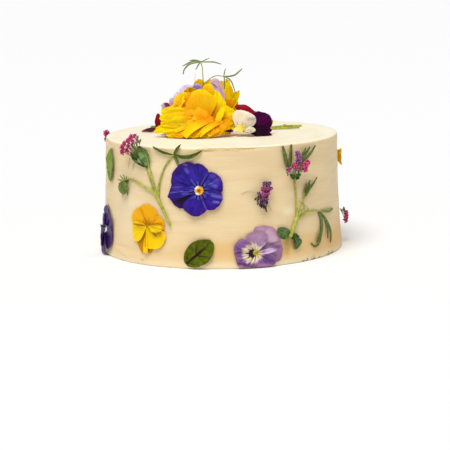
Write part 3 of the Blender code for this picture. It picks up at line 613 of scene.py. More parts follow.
def petal_finish(name, deep, light, other=None, dark=None, edge=None, vein=None, base=None, heart=None,
                 whisker=None, ring=None, eye=None, pupil=None, crescent=None, shade_folds=None, glints=None,
                 shift=(0, 0), lean=0, glow=0, roughness=0.55, sheen=0.05, gloss=0.25, veins=11,
                 vein_share=0.35, relief_depth=0.35, whiskers_up=False, edge_fades=False):
    """A petal's skin. Streaks and veins fan from the heart; a petal's own shade takes it from the main
    colours at 0 to other at 1 and dark at 2. heart, ring and eye are each (colour, reach from the heart in
    millimetres), and whisker is (colour, reach, count, width). shade_folds are lines of painted shade and
    glints are painted highlights, each as (colour, lines as (from x, from y, to x, to y, half width, share))."""
    finish = Finish(name, roughness, {
        "Sheen Weight": sheen, "Sheen Roughness": 0.4, "Specular IOR Level": gloss, "Subsurface Weight": glow,
        "Subsurface Radius": (1, 0.6, 0.3), "Subsurface Scale": 0.0015})
    x, y, which = finish.read("place")
    s, t, shade = finish.read("petal")
    radius = (x * x + y * y) ** 0.5
    cloud = finish.noise(x * 0.16, y * 0.16, which, detail=3)
    streak = finish.noise(t * 9, s * 1.1, which * 3.1, detail=3)
    finish.colour = finish.mix((streak * 0.9 + cloud * 0.9 - 0.45).ramp(0.1, 0.8), deep, light)
    if lean:
        shade = shade - t * lean
    if other:
        finish.coat((shade + cloud * 0.3 - 0.15).ramp(0.15, 0.85), other)
    if dark:
        finish.coat((shade + cloud * 0.5 - 0.25).ramp(1.15, 1.85), dark)
    if edge:
        rim = (s + cloud * 0.12 - 0.06).ramp(0.76, 1) * 0.75
        finish.coat(rim * shade.ramp(0.9, 0.3) if edge_fades else rim, edge)
    wander = finish.noise(t * 2, s * 3, which, detail=1)
    lines = abs((t * veins + (wander - 0.5) * 2.4 + which).sine())
    if vein:
        finish.coat(lines.ramp(0.26, 0) * s.ramp(1, 0.25) * vein_share, vein)
    if base:
        finish.coat((s + cloud * 0.3 - 0.15).ramp(0.6, 0.1) * 0.85, base)
    over, rise = x + shift[0], y + shift[1]
    reach = (over * over + rise * rise) ** 0.5
    way_x, way_y = x / (radius + 0.01), y / (radius + 0.01)
    jag = finish.noise(way_x * 5, way_y * 5, 1, detail=2)
    reached = reach / (jag * 1.1 + 0.45)
    if heart:
        tint, far = heart
        finish.coat(reached.ramp(far * 1.15, far * 0.8) * (streak.ramp(0.3, 0.6) * 0.45 + 0.55), tint)
    if whisker:
        tint, far, count, width = whisker
        strokes = abs((y.math("ARCTAN2", x) * count + (wander - 0.5) * 1.1).sine())
        length = finish.noise(way_x * 3, way_y * 3, 7, detail=1) + 0.5
        width = (reach / far).ramp(1.1, 0.1) * width + 0.06
        drawn = (strokes - width).ramp(0.12, -0.12) * (reach / length).ramp(far, far * 0.8)
        finish.coat(drawn * y.ramp(-0.4, 1.2) if whiskers_up else drawn, tint)
    if ring:
        tint, far = ring
        finish.coat(reached.ramp(far * 1.2, far * 0.85), tint)
    if eye:
        tint, far = eye
        finish.coat(radius.ramp(far * 1.12, far * 0.88), tint)
    if pupil:
        finish.coat(radius.ramp(far * 0.55, far * 0.3) * 0.85, pupil)
    if crescent:
        band = radius.ramp(far * 0.62, far * 0.74) * radius.ramp(far * 1.1, far * 0.98)
        finish.coat(band * x.ramp(0.2, -0.8) * abs(y).ramp(0.3, 0.9), crescent)
    worn = streak.ramp(0.25, 0.6) if glints else None
    # painted shade along folds, then painted highlights
    for lit, drawn_lines in enumerate((shade_folds, glints)):
        for from_x, from_y, to_x, to_y, width, share in drawn_lines[1] if drawn_lines else ():
            run_x, run_y = to_x - from_x, to_y - from_y
            over, rise = x - from_x, y - from_y
            along = (over * run_x + rise * run_y).math("DIVIDE", run_x ** 2 + run_y ** 2, clamp=True)
            off_x, off_y = over - along * run_x, rise - along * run_y
            gap = (off_x * off_x + off_y * off_y) ** 0.5
            sharp = width < SOFT_FOLD and not lit
            near = gap.ramp(width * 1.3, width * 0.4) if sharp else gap.ramp(width * 1.7, 0)
            finish.coat((near * worn if lit else near) * share, drawn_lines[0])
    return finish.done(lines * 0.5 + streak * 0.8, strength=relief_depth, distance=0.00035)


def green_finish(name, deep, light, pale, rib=None, rib_share=0.7, roughness=0.5, coat=0, veins=0, tip=None,
                 gloss=0.4):
    """A leaf's or stem's skin: mottled green, paler along its rib and under light."""
    finish = Finish(name, roughness, {
        "Specular IOR Level": gloss, "Coat Weight": coat, "Coat Roughness": 0.35})
    x, y, own = finish.read("place")
    s, t, shade = finish.read("petal")
    cloud = finish.noise(x * 0.35, y * 0.35, own * 9, detail=4)
    fine = finish.noise(x * 2.2, y * 2.2, own)
    finish.colour = finish.mix((cloud * 1.3 + fine * 0.4 - 0.35).ramp(0.15, 0.85), deep, light)
    finish.coat((shade + (cloud - 0.5) * 0.3).ramp(0.35, 1) * 0.9, pale)
    relief = fine
    if rib:
        middle = abs(t).ramp(0.2, 0.03) * s.ramp(1, 0.55)
        if veins:
            branch = abs(((s - abs(t) * 0.33) * veins).sine()).ramp(0.42, 0.05) * abs(t).ramp(0.9, 0.35)
            middle = middle.math("MAXIMUM", branch * s.ramp(0.95, 0.6) * 0.85)
        finish.coat(middle * rib_share, rib)
        relief = fine * 0.4 - middle
    if tip:
        finish.coat((s + cloud * 0.2).ramp(0.92, 1.1), tip)
    return finish.done(relief, strength=0.4, distance=0.0003)


def icing_finish():
    """Buttercream: pale, faintly mottled and satin, with painted board reflection, light and crevice shade.
    """
    finish = Finish("buttercream", 0.5, {"Specular IOR Level": 0.35, "Subsurface Weight": 0.12,
                                         "Subsurface Radius": (1, 0.7, 0.4), "Subsurface Scale": 0.003})
    turn, height, pale = finish.read("place")
    board_reflection, crevice_shade, crumb = finish.read("petal")
    drift = finish.noise(turn * 0.035, height * 0.12, 0, detail=3, distortion=0.6)
    drag = finish.noise(turn * 0.1, height * 0.9, 3, detail=4)
    grain = finish.noise(turn * 1.9, height * 1.9, 5, detail=3)
    finish.colour = finish.mix((drift * 0.8 + drag * 0.4 - 0.1).ramp(0.2, 0.8), SIDE_SHADE, SIDE_LIGHT)
    # pale smears, and painted light on the left side
    finish.coat(pale * 0.75, ICING_PALE_AND_LIT)
    # painted warm reflection of the board, mostly low on the side
    finish.coat((board_reflection + (drift - 0.5) * 0.16).ramp(0, 1), ICING_BOARD_REFLECTION)
    # painted light: paler over the lowest few millimetres, against the shade of the rounded foot
    finish.coat((height + (drift - 0.5) * 6).ramp(7, 1) * 0.7, FOOT_PAINTED_LIGHT)
    top = finish.mix((drift + grain * 0.3 - 0.15).ramp(0.25, 0.75), TOP_SHADE, TOP_LIGHT)
    # the top's paler colours are partly its own tone and partly painted light falling on the top
    finish.coat(height.ramp(97.6, 99.6), top)
    crust = finish.noise(turn * 1.3, height * 1.3, 2, detail=4)
    # painted shade in the rim's grooves and in the smears
    finish.coat((crevice_shade * (crust * 1.6 + 0.1)).ramp(0.25, 0.95) * 0.8, ICING_CREVICE_SHADE)
    crumbs = finish.noise(turn * 1.1, height * 1.3, 9, detail=3)
    finish.coat((crumbs + crumb * 0.4).ramp(0.78, 0.86) * crumb.ramp(0.05, 0.3), ICING_CRUMB)
    return finish.done(drag * 0.5 + grain * 0.25 + drift * 0.6, strength=0.22, distance=0.0009)


# Icing colours. The side's are darker and warmer than the top's, partly the buttercream's own tone and partly
# painted shade on the side.
SIDE_LIGHT = "#efd8ab"
SIDE_SHADE = "#e6ca98"
FOOT_PAINTED_LIGHT = "#f3e0ba"
TOP_LIGHT = "#fcf5de"
TOP_SHADE = "#faedcc"
ICING_BOARD_REFLECTION = "#e5bb77"
ICING_PALE_AND_LIT = "#f6e8c2"
ICING_CREVICE_SHADE = "#ba9e4e"
ICING_CRUMB = "#6e421e"


# The icing.

ICING_ROWS = 112
ICING_RINGS = 44
RIM_ROWS = 10
FINE_TURNS = np.arange(-100, 100, 0.5)
COARSE_TURNS = np.arange(100, 260, 1)

# Painted warm board reflection as (turn, height, half width in degrees, half height, strength).
WARM_BOARD_REFLECTIONS = (
    (0, 14.5, 26, 11, 0.62), (-4, 15, 10, 7, 0.2), (42, 14, 22, 12, 0.55),
    (-46, 10, 26, 9, 0.28), (78, 10, 22, 16, 1.1), (-90, 12, 20, 10, 0.35),
    (118, 14, 26, 11, 0.5), (166, 14, 28, 12, 0.5), (215, 14, 26, 10, 0.5),
    (250, 14, 20, 10, 0.4), (30.2, 14, 3, 9, 0.6),
)
# Raised dabs and pressed hollows as (turn, height, half width in degrees, half height, depth).
DABS = (
    (28, 47, 3.4, 4, 0.45), (20, 52, 6, 14, -0.35), (8, 60, 5, 18, 0.25),
    (-3, 30, 16, 4, 0.25), (24, 33, 14, 3, -0.2), (-48, 60, 9, 22, 0.25),
    (45, 62, 6, 24, -0.25), (60, 30, 10, 10, 0.3), (-20, 80, 18, 6, 0.2),
    (10, 84, 14, 4, -0.25), (130, 66, 18, 8, 0.3), (195, 38, 14, 7, 0.3),
    (235, 70, 15, 10, -0.3), (-12, 3, 30, 2.4, 0.4), (40, 5, 18, 2.4, 0.35),
    (-50, 7, 10, 2, 0.3), (-56, 12, 7, 1.2, -0.35),
)
# Grooves under the rim, with painted shade in them, as (turn, height, half length in degrees, depth).
RIM_GROOVES = (
    (5, 98.4, 16, 0.6), (27, 97.4, 6, 0.25), (120, 98, 14, 0.5), (170, 98.2, 9, 0.35),
    (230, 98, 16, 0.5), (282, 98, 8, 0.35),
)
# Ragged foot with crumbs as (turn, half length in degrees, height, strength).
RAGGED_FOOT = (
    (40.6, 2.2, 3.8, 1), (46.4, 2.2, 4.4, 1), (51, 1.2, 3, 0.9), (61, 5, 4.6, 1),
    (-57, 6, 4.6, 0.45), (-43, 5, 3.4, 0.35),
    (128, 12, 3, 0.8), (205, 10, 3, 0.7), (262, 9, 3, 0.7),
)
# Painted shade without relief: soft olive and brown smears under toppings and in creases, as (turn,
# height, half width, half height, lean in degrees a millimetre, strength), and thin crumbs as
# (turn, height, half width, half height, strength).
SHADE_SMEARS = (
    (-49.9, 84.4, 0.8, 6.4, 0.14, 0.95), (-46.3, 83, 0.9, 7.4, 0.2, 1), (30.3, 16, 2.2, 9, 0.05, 1.1),
    (-8, 97.3, 4.4, 1.1, 0, 1.3), (5, 97.2, 12, 0.8, -0.02, 0.7), (-40.6, 4.4, 1.8, 0.8, 0, 1),
    (-43.4, 2.4, 0.9, 0.6, 0, 0.9), (31.2, 34, 0.6, 9, 0, 0.6), (-56, 6.2, 1.5, 4.4, -2.3, 0.8),
)
CRUMBS = ((4, 96.4, 10, 1, 0.42), (-40, 3.6, 4, 1.6, 0.5))
# Paler patches, partly pale smears and partly painted light on the left side, as (turn, height, half width
# in degrees, half height, strength).
PALE_AND_LIT_PATCHES = ((-50, 48, 13, 26, 0.5), (-24, 84, 9, 12, 0.35), (31.4, 43.8, 3.2, 3.4, 0.95))


def icing_marks(turn, height):
    """Relief in millimetres, painted board reflection and crevice shade, and crumbs of the iced side."""
    angle = np.radians(turn)
    relief = 0.13 * np.sin(height / 5.3 + 1.6 * np.sin(2 * angle + 0.4) + 0.8 * np.sin(5 * angle))
    relief = relief + 0.05 * np.sin(height / 1.7 + 2.1 * np.sin(3 * angle) + np.sin(8 * angle))
    relief = relief + 0.06 * np.sin(9 * angle + height / 13) * np.sin(height / 21)
    board_reflection = crevice_shade = crumb = 0 * turn * height
    for *place, depth in DABS:
        relief = relief + depth * spot(turn, height, *place, 3, 2.4)
    # painted warm reflection of the board
    for *place, strength in WARM_BOARD_REFLECTIONS:
        board_reflection = board_reflection + strength * spot(turn, height, *place)
    for middle, level, wide, depth in RIM_GROOVES:
        away = away_from(turn, middle)
        wander = 0.3 * ripple(0.35 * turn, 5) + 0.1 * ripple(2.1 * turn, 6) - 0.04 * away
        line = np.exp(-np.abs((height - level - wander) / 0.65) ** 2) * np.exp(-np.abs(away / wide) ** 4)
        relief = relief - depth * line
        # painted shade along the groove
        crevice_shade = crevice_shade + 1.1 * line * min(1, depth / 0.5)
    # painted shade smears
    for middle, level, wide, high, lean, strength in SHADE_SMEARS:
        middle = middle + lean * (height - level)
        crevice_shade = crevice_shade + strength * spot(turn, height, middle, level, wide, high, 2, 3)
    for *place, strength in CRUMBS:
        crumb = crumb + strength * spot(turn, height, *place, 4, 2)
    for middle, wide, level, strength in RAGGED_FOOT:
        along = np.exp(-np.abs(away_from(turn, middle) / wide) ** 4)
        top = level * (0.55 + 0.45 * ripple(1.3 * turn, 8) + 0.3 * ripple(4 * turn, 12))
        low = along * np.clip((top - height) / 1.2, 0, 1)
        relief = relief - 0.9 * strength * low
        crumb = crumb + strength * low
    return relief, board_reflection, crevice_shade, crumb


def make_icing():
    """The whole iced cake: side with knife marks, rim, top with its faint swirl, and underside."""
    turns = np.concatenate([FINE_TURNS, COARSE_TURNS])[None, :]
    angle = np.radians(turns)
    none = 0 * turns
    rows = []
    levels = np.concatenate([[0], np.linspace(FOOT_ROUND * 0.3, CAKE_HEIGHT - RIM_ROUND, ICING_ROWS)])
    for height in levels:
        relief, *marks = icing_marks(turns, height + none)
        inset = FOOT_ROUND * (1 - math.sqrt(max(0, 1 - (1 - min(1, height / FOOT_ROUND)) ** 2)))
        rows.append((icing_radius(turns, height) + relief - inset, height + none, *marks))
    bumps = 0.35 * ripple(6 * angle, 14) + 0.2 * ripple(23 * angle, 15)
    start_radius = rows[-1][0] - relief
    for step in np.linspace(0, math.pi / 2, RIM_ROWS)[1:]:
        height = CAKE_HEIGHT - RIM_ROUND * (1 - math.sin(step)) + 0.25 * bumps * math.sin(step)
        groove, _, crevice_shade, _ = icing_marks(turns, height)
        radius = start_radius + groove * math.cos(step) - RIM_ROUND * (1 - math.cos(step)) * (1 + 0.2 * bumps)
        rows.append((radius, height, none, crevice_shade, none))
    rim_radius, rim_height = rows[-1][:2]
    for share in np.linspace(1, 0.012, ICING_RINGS)[1:]:
        radius = rim_radius * share
        swirl = 0.1 * np.sin(radius / 2.6 + 2 * angle) + 0.16 * np.sin(radius / 7 + 3 * angle + 1)
        swirl = swirl + 0.12 * np.sin(5 * angle + radius / 19)
        fade = min(1, (1 - share) * 14)
        height = CAKE_HEIGHT + (rim_height - CAKE_HEIGHT) * (1 - fade) + (swirl - 0.12) * fade
        rows.append((radius, height, none, none, none))
    radius, high, board_reflection, crevice_shade, crumb = (np.concatenate(column) for column in zip(*rows))
    pale = sum(strength * spot(turns, high, *place) for *place, strength in PALE_AND_LIT_PATCHES)
    inward = np.maximum(0, 97 - radius) * (high > 98)
    piece = Piece("icing")
    piece.add(vectors(radius * np.sin(angle), -radius * np.cos(angle), high), tube_faces(*radius.shape),
              vectors(turns, high + inward, pale), vectors(board_reflection, crevice_shade, crumb))
    piece.build(icing_finish(), "icing", "cake", sharp=80)


# Flat flowers pressed on the side: turn, height, finish, eye radius and height, then petals as
# (edge as (bearing, reach) points, lift at the edge, layer, shade).
SIDE_FLOWERS = {
    "pansy_blue": (-10.7, 64.9, "blue", 2.4, 1.5, (
        (((56, 13), (64, 18), (84, 21.4), (100, 22), (120, 21.5), (138, 18)), 0.9, 0, 0.2),
        (((90, 18.4), (98, 22.4), (114, 25.2), (132, 26.2), (148, 26), (160, 25.2), (170, 23.8), (179, 21),
         (188, 15)),
         1.2, 1, 0.25),
        # painted shade: this folded petal lies in shade, and its shade of 1.9 gives it the dark colour
        (((-122, 16), (-133, 20.4), (-143, 23.4), (-156, 25.2), (-166, 25.4), (-176, 21)), 0.9, 1, 1.9),
        (((68, 14), (60, 17.4), (51, 19.2), (37, 20.3), (22, 20.3), (9, 19.9), (-3, 18.8), (-14, 15)), 1.3,
         2, 0.1),
        (((-158, 17), (-164, 25.6), (-168, 27), (-176, 25.4), (-190, 22.6), (-203, 17)), 1.6, 2, 0.15),
        (((6, 15), (-6, 18.4), (-18, 20), (-34, 20.4), (-51, 19.8), (-65, 17.4), (-77, 13)), 1.5, 3, 0.3),
        (((-56, 13), (-67, 16.8), (-82, 19.4), (-96, 21.2), (-112, 20.9), (-130, 19.8), (-144, 16)), 1.6, 4,
         0.35))),
    "pansy_yellow": (-37.4, 33.3, "yellow", 1.1, 0.9, (
        # painted shade: the two folded lower lobes lie in shade, and their shades of 2 give them the dark
        # brown
        (((-136, 14), (-128, 17.2), (-119, 19.6), (-111, 21.4), (-105, 22.8), (-97, 22.6), (-91, 19)), 0.6,
         0, 2),
        (((-94, 18), (-86, 22.6), (-80, 22.6), (-74, 20.2), (-68, 16)), 0.5, 0, 2.1),
        (((34, 11), (48, 15.6), (66, 17), (82, 18), (93, 18.1), (108, 17.6), (122, 16.4), (136, 13)), 1, 0,
         1),
        (((50, 11), (40, 14.8), (29, 16.4), (11, 17.2), (-5, 16.4), (-16, 12)), 0.9, 1, 0.85),
        (((112, 13), (124, 16.8), (137, 18.2), (151, 18.5), (167, 17.6), (175, 15.4), (181, 12)), 1.2, 1,
         0.75),
        (((-204, 9), (-188, 14.4), (-170, 16.3), (-158, 16.6), (-146, 17.4), (-132, 18.2), (-121, 15.6),
         (-112, 11)),
         1.3, 2, 0.3),
        (((-4, 14), (-18, 19.6), (-33, 20.9), (-55, 21.2), (-70, 19.6), (-82, 18.8), (-92, 15)), 1.2, 2,
         0.35),
        (((-83, 18), (-86, 21.8), (-91, 22.4), (-96, 21.8), (-99, 18)), 1.4, 3, 0.3),
        (((16, 9), (8, 14.6), (-2, 15.8), (-9, 15.4), (-16, 13.6), (-24, 10.8), (-31, 8.4), (-38, 6.4)),
         1.9, 3, -0.2))),
    "pansy_lilac": (14.2, 12.8, "lilac", 2, 1.3, (
        (((0, 15), (8, 21.6), (20, 23.4), (32, 24.3), (51, 24.9), (65, 23.4), (76, 22.2), (87, 21),
         (98, 16)), 0.4, 0, 1),
        (((-32, 14), (-26, 21), (-14, 22.8), (2, 23.8), (10, 23.8), (19, 22.2), (30, 16)), 0.6, 0, 0.5),
        (((38, 12), (50, 16.6), (68, 18.4), (86, 18), (104, 16.7), (118, 15.6), (130, 12)), 1.5, 1, 0.5),
        (((116, 11), (132, 16.4), (149, 18), (162, 18), (176, 17.2), (186, 16.8), (196, 15), (204, 11)),
         1.6, 2, 0),
        (((-190, 10), (-179, 14.6), (-170, 16.6), (-158, 17.1), (-145, 17.3), (-132, 16.6), (-119, 13.4),
         (-106, 10)),
         1.5, 3, 0.1),
        (((-126, 10), (-110, 12.2), (-93, 12.4), (-71, 13.2), (-56, 15), (-44, 17.4), (-31, 18.6),
         (-18, 17), (-6, 12)),
         1.4, 4, 0.15),
        (((-8, 8), (-3, 12), (2, 16.6), (9, 17.2), (14, 14), (22, 8)), 2.6, 4, 2))),
    "pansy_plum": (-74.5, 21.4, "plum", 1.8, 1.4, (
        (fan(95, 21, 50), 1.4, 0, 0.3), (fan(28, 19, 50), 1.2, 1, 0.2), (fan(158, 17.5, 50), 1.8, 2, 0.4),
        (fan(-25, 20, 50), 1.2, 2, 0.2), (fan(-148, 19, 50), 3.2, 3, 0.5), (fan(-88, 20, 50), 2.6, 4,
         0.4))),
    "pansy_amber": (106, 76, "amber", 1.6, 1.5, (
        (fan(185, 20.5, 30, 0.9), 4.6, 3, 0), (fan(115, 16, 50), 1.2, 0, 0.9), (fan(50, 17, 52), 1.2, 1,
         0.9),
        (fan(-20, 18, 52), 1.4, 2, 0.3), (fan(-98, 15.5, 54), 1, 4, 0.3))),
    "pansy_violet_back": (172, 62, "blue", 2.4, 1.5, (
        (fan(60, 24, 54), 1.4, 0, 0.2), (fan(130, 24.5, 54), 1.2, 1, 0.1), (fan(200, 22, 50), 1.5, 2, 0.5),
        (fan(-15, 22, 50), 1.6, 3, 0.4), (fan(-90, 22.5, 54), 1.8, 4, 0.3))),
    "pansy_yellow_back": (141, 31, "yellow", 1.2, 1, (
        (fan(70, 18.5, 60), 1, 0, 0.95), (fan(135, 18, 54), 1, 1, 0.9), (fan(205, 19, 52), 1.3, 2, 0.1),
        (fan(-15, 19, 52), 1.6, 3, 0.1), (fan(-85, 21, 56), 1.8, 4, 0.05))),
    "pansy_lilac_back": (-151, 24, "lilac", 2, 1.3, (
        (fan(75, 20, 54), 1.2, 0, 0.9), (fan(140, 19, 54), 1.1, 1, 0.2), (fan(200, 18, 50), 1.4, 2, 0.1),
        (fan(-10, 18.5, 52), 1.5, 3, 0.3), (fan(-90, 19, 56), 1.7, 4, 0.1))),
}


PETAL_FINISHES = {
    # Blue pansy: dark is painted shade on the folded petal that lies in shade, shade_folds darken creases and
    # the upper left, and glints are painted highlights, the last a broad painted sheen.
    "blue": petal_finish(
        "blue_violet_petal", "#100068", "#3822ae", other="#320062", dark="#140028", edge="#3c006c",
        vein="#0c003c", heart=("#504cc0", 7.4), whisker=("#040016", 10, 6.5, 0.95), eye=("#fab414", 3.6),
        pupil="#8c2804", crescent="#fcf6e2", shade_folds=("#0e003e", ((15.5, 0.1, 21.2, 0.3, 0.5, 0.8),
        (16, -1.3, 21, -2, 0.4, 0.7), (-18, 14, -8, 22, 3, 0.5))), glints=("#7c70d0",
        ((8.5, 6.3, 13.6, 3.5, 1.7, 0.55), (10.8, -3.9, 19.5, -5.5, 1.4, 0.6),
        (11.6, -9.4, 15.9, -9.4, 1, 0.75), (-12.4, 21.3, -9.6, 20.5, 0.9, 0.45),
        (-10.4, 17.3, -9.3, 15, 1.5, 0.4), (-6.5, 8.7, -5.3, 6.7, 0.6, 0.6),
        (1.8, -5.9, 6.1, -15.4, 0.6, 0.5), (8.5, 17.3, 3, 7.1, 0.5, 0.4),
        (-13.6, -2.8, -9.3, -2.4, 1, 0.5), (-25.3, -2.7, -13.6, -0.8, 0.6, 0.6),
        (-25.8, 1.6, -13.9, 3, 0.5, 0.45), (12, 12, 15, 8, 3, 0.25))), roughness=0.4, gloss=0.2,
        relief_depth=0.8),
    "plum": petal_finish(
        "plum_petal", "#1c003a", "#3a0464", other="#1a0028", dark="#0e0018", edge="#480e7c", gloss=0.12,
        vein="#0e001a", heart=("#ecdef0", 3.4), whisker=("#0e0016", 7, 9, 0.62), eye=("#f0e8dc", 2.2),
        roughness=0.45),
    "wine": petal_finish(
        "wine_petal", "#32002c", "#500040", other="#20001a", edge="#440038", vein="#24001e", roughness=0.7,
        sheen=0, gloss=0.06, vein_share=0.3),
    # Yellow pansy: dark is a painted brown shade on the folded lower lobes, and shade_folds are painted shade
    # along creases and under the bright petal.
    "yellow": petal_finish(
        "yellow_petal", "#f6c800", "#fcda06", other="#f2ac02", dark="#c48602", edge="#f9cc02",
        vein="#de9600", whisker=("#a86000", 7.4, 8.5, 0.75), whiskers_up=True, edge_fades=True,
        eye=("#ce960a", 1.2), shade_folds=("#a06000", ((-14.2, 0.4, -2.4, -0.2, 0.7, 0.8),
        (0.4, -0.4, 9.4, -7.6, 0.7, 0.85), (-1.2, -4, -0.6, -17, 0.8, 0.45),
        (3, 1.4, 15, 3.2, 1.1, 0.5), (9, -6.4, 13, -5.4, 3, 0.6),
        (-4.6, 3.4, -0.4, 0, 0.6, 0.6), (-12, -2.2, -4.6, -2.4, 2.2, 0.3),
        (-3, 6.4, -0.2, 0.6, 0.5, 0.6), (2, 7, 0.2, 0.6, 0.5, 0.5))), sheen=0, gloss=0.15, glow=0.1,
        roughness=0.5, vein_share=0.25),
    "amber": petal_finish(
        "amber_petal", "#fcbc10", "#ffcc28", other="#f2a00a", edge="#fecc28", vein="#be6006",
        whisker=("#602804", 5, 9, 0.62), eye=("#dc9614", 1.6), sheen=0, gloss=0.15, roughness=0.5),
    # Lilac pansy: shade_folds are painted shade, darkening the shaded lower right, the creases and the left
    # petals.
    "lilac": petal_finish(
        "lilac_petal", "#5a367e", "#9a6ca2", other="#cca6b8", dark="#e8ccf0", edge="#a67698",
        vein="#4a2868", heart=("#f0dab2", 8.2), shift=(2.4, 0.4), base="#5a388a",
        whisker=("#220226", 6.8, 6, 0.72), ring=("#280226", 3.2), shade_folds=("#462458",
        ((11, 6.8, 20, 3, 1.8, 0.55), (8, -6.8, 14.6, -8.6, 2.2, 0.6),
        (-16.8, -7.4, -8.8, -8.8, 1.2, 0.75), (-8.6, -9.8, 0, -12, 1.5, 0.7),
        (-17, 0.4, -12, 0.8, 0.8, 0.4), (-17, 6, -14, -5, 5, 0.22),
        (20, 1, 18, -9, 5, 0.3))), eye=("#b2a608", 2.1), pupil="#968406", relief_depth=0.6),
    "pale": petal_finish(
        "pale_lilac_petal", "#ceacd2", "#e8d4ee", other="#866abc", edge="#decee0", vein="#9c82ac", glow=0.3,
        vein_share=0.25, gloss=0.2),
    "blush": petal_finish(
        "blush_lilac_petal", "#d4acc8", "#f0d4e2", other="#c496be", edge="#f4dce2", vein="#b088a6",
        glow=0.3, vein_share=0.25, gloss=0.2),
    "mauve": petal_finish(
        "mauve_petal", "#ba96a8", "#d4bec4", other="#782850", edge="#d6cad2", vein="#966e84", glow=0.3,
        vein_share=0.25, gloss=0.2),
    # White petal: lean turns one side grey with other, a painted shade, and shade_folds add painted
    # grey-violet shade lines.
    "veined": petal_finish(
        "veined_white_petal", "#e2ccaa", "#eedabc", other="#b4ac96", edge="#f6ecdc", vein="#8c7680",
        lean=-0.5, whisker=("#543264", 9, 5, 0.16), glow=0.2, veins=13, vein_share=0.4, gloss=0.15,
        shade_folds=("#80727c", ((12, 3.6, 15, 8.4, 1.6, 0.5), (6.4, 0.9, 7, 3.2, 0.4, 0.6),
        (8.4, 2, 8.8, 3.4, 0.3, 0.5)))),
    "cream": petal_finish(
        "yellow_white_petal", "#ecce32", "#f2dc6e", edge="#faf0d6", vein="#c8a028",
        whisker=("#543808", 6, 6, 0.3), glow=0.2, gloss=0.15),
    "red": petal_finish(
        "red_petal", "#920218", "#b00c26", other="#460012", edge="#960822", vein="#50000c", sheen=0.1,
        gloss=0.15, vein_share=0.35),
    # Bloom: other and base are orange. This is partly the petals' own tone at the root and partly painted
    # shade, so petals and folds lying in shadow turn orange.
    "bloom": petal_finish(
        "bloom_petal", "#fec200", "#ffd800", other="#fea200", dark="#e26e00", edge="#ffd600",
        vein="#f49600", base="#ff9800", sheen=0, glow=0.6, veins=17, vein_share=0.25, lean=0.12,
        roughness=0.55, gloss=0.08),
}


def make_side_flowers():
    for name, (turn, height, finish, eye_radius, eye_height, petals) in SIDE_FLOWERS.items():
        piece = Piece(name + "_petals")
        wrap = on_side(turn, height)
        for index, petal in enumerate(petals):
            flat_petal(piece, wrap, petal, index, height - LOWEST)
        flower_eye(piece, wrap, eye_radius, eye_height + 0.3)
        piece.build(PETAL_FINISHES[finish], "petal_" + finish, name)


# Flat leaves pressed on the side: turn, height, bearing, length, half width, finish, then the rest.
SIDE_LEAVES = {
    "leaf_sorrel": (-11.2, 13.4, 41, 28.6, 10, "sorrel",
        dict(point=0.58, lift=0.8, cup=1.4, shade=0.35, seed=3)),
    "leaf_serrated": (-67.6, 78.6, 84, 29, 8, "serrated",
        dict(notches=0.16, lift=1.4, cup=1.2, shade=0.5, seed=5)),
    "leaf_sorrel_back": (-178, 16.5, 118, 29, 10.5, "sorrel",
        dict(point=0.55, lift=1, cup=1, shade=0.3, seed=8)),
    "leaf_round_back": (-112, 42, 60, 26, 8.5, "leaf",
        dict(point=0.7, lift=0.9, cup=1.1, shade=0.3, seed=11)),
}


GREEN_FINISHES = {
    "sorrel": green_finish(
        "sorrel_leaf", "#3c4800", "#626c00", "#848c0a", rib="#260808", rib_share=1, veins=8,
        roughness=0.5, gloss=0.12),
    "serrated": green_finish(
        "serrated_leaf", "#526e12", "#829a22", "#a8b448", rib="#b0b854", rib_share=0.6, veins=14),
    "leaf": green_finish(
        "round_leaf", "#224408", "#4a6c1a", "#9eb268", rib="#789042", rib_share=0.5, veins=9, coat=0.35,
        roughness=0.36),
    "grey_leaf": green_finish(
        "grey_green_leaf", "#3e5c1c", "#749646", "#a8bc78", rib="#9eb876", rib_share=0.55, veins=8,
        roughness=0.5),
    "needle": green_finish(
        "needle_leaf", "#405410", "#70842c", "#a2ae62", rib="#a0ae68", rib_share=0.4, roughness=0.45,
        tip="#5c4e2c"),
    "fine": green_finish(
        "fine_needle_leaf", "#5c702c", "#86984e", "#b0bc7c", rib="#b0bc78", rib_share=0.4, roughness=0.5,
        tip="#464a30"),
    "stem": green_finish(
        "young_stem", "#8a9022", "#bec050", "#dee082", roughness=0.42),
    "straw": green_finish(
        "dry_stalk", "#bea068", "#d4b882", "#e2cc9c", roughness=0.6),
    "dark_bits": green_finish(
        "calyx", "#22101a", "#3e2c2c", "#6c6054", roughness=0.6),
    "dusty_bits": green_finish(
        "dusty_calyx", "#605c48", "#8e8a6c", "#bcb696", roughness=0.7),
}


def blossom_finish(name, deep, light, other, pale):
    """Floret skin: deep at the mouth, paler at the lobes' edges, each floret its own shade."""
    finish = Finish(name, 0.55, {"Sheen Weight": 0.2, "Specular IOR Level": 0.3})
    seed = finish.read("place")[2]
    s, lobe, shade = finish.read("petal")
    cloud = finish.noise(seed * 0.37, s * 2, lobe * 1.5)
    finish.colour = finish.mix((cloud + s * 0.5 - 0.35).ramp(0.1, 0.7), deep, light)
    finish.coat((shade + (cloud - 0.5) * 0.3).ramp(0.25, 0.85), other)
    finish.coat(lobe.ramp(0.55, 1) * s.ramp(0.7, 1) * 0.4, pale)
    return finish.done(cloud)


FLORET_FINISHES = {
    "pink": blossom_finish("pink_floret", "#8e0848", "#e0347e", "#9c4298", "#f6bace"),
    "purple": blossom_finish("purple_floret", "#962468", "#c8468e", "#683e80", "#d8a0c8"),
}


def make_side_leaves():
    for name, (turn, height, bearing, length, half_width, finish, more) in SIDE_LEAVES.items():
        bearing = math.radians(bearing)
        half = 0.5 * length * np.array((math.cos(bearing), math.sin(bearing)))
        piece = Piece(name + "_blade")
        leaf(piece, on_side(turn, height), -half, half, half_width, **more)
        piece.build(GREEN_FINISHES[finish], "leaf_green", name)


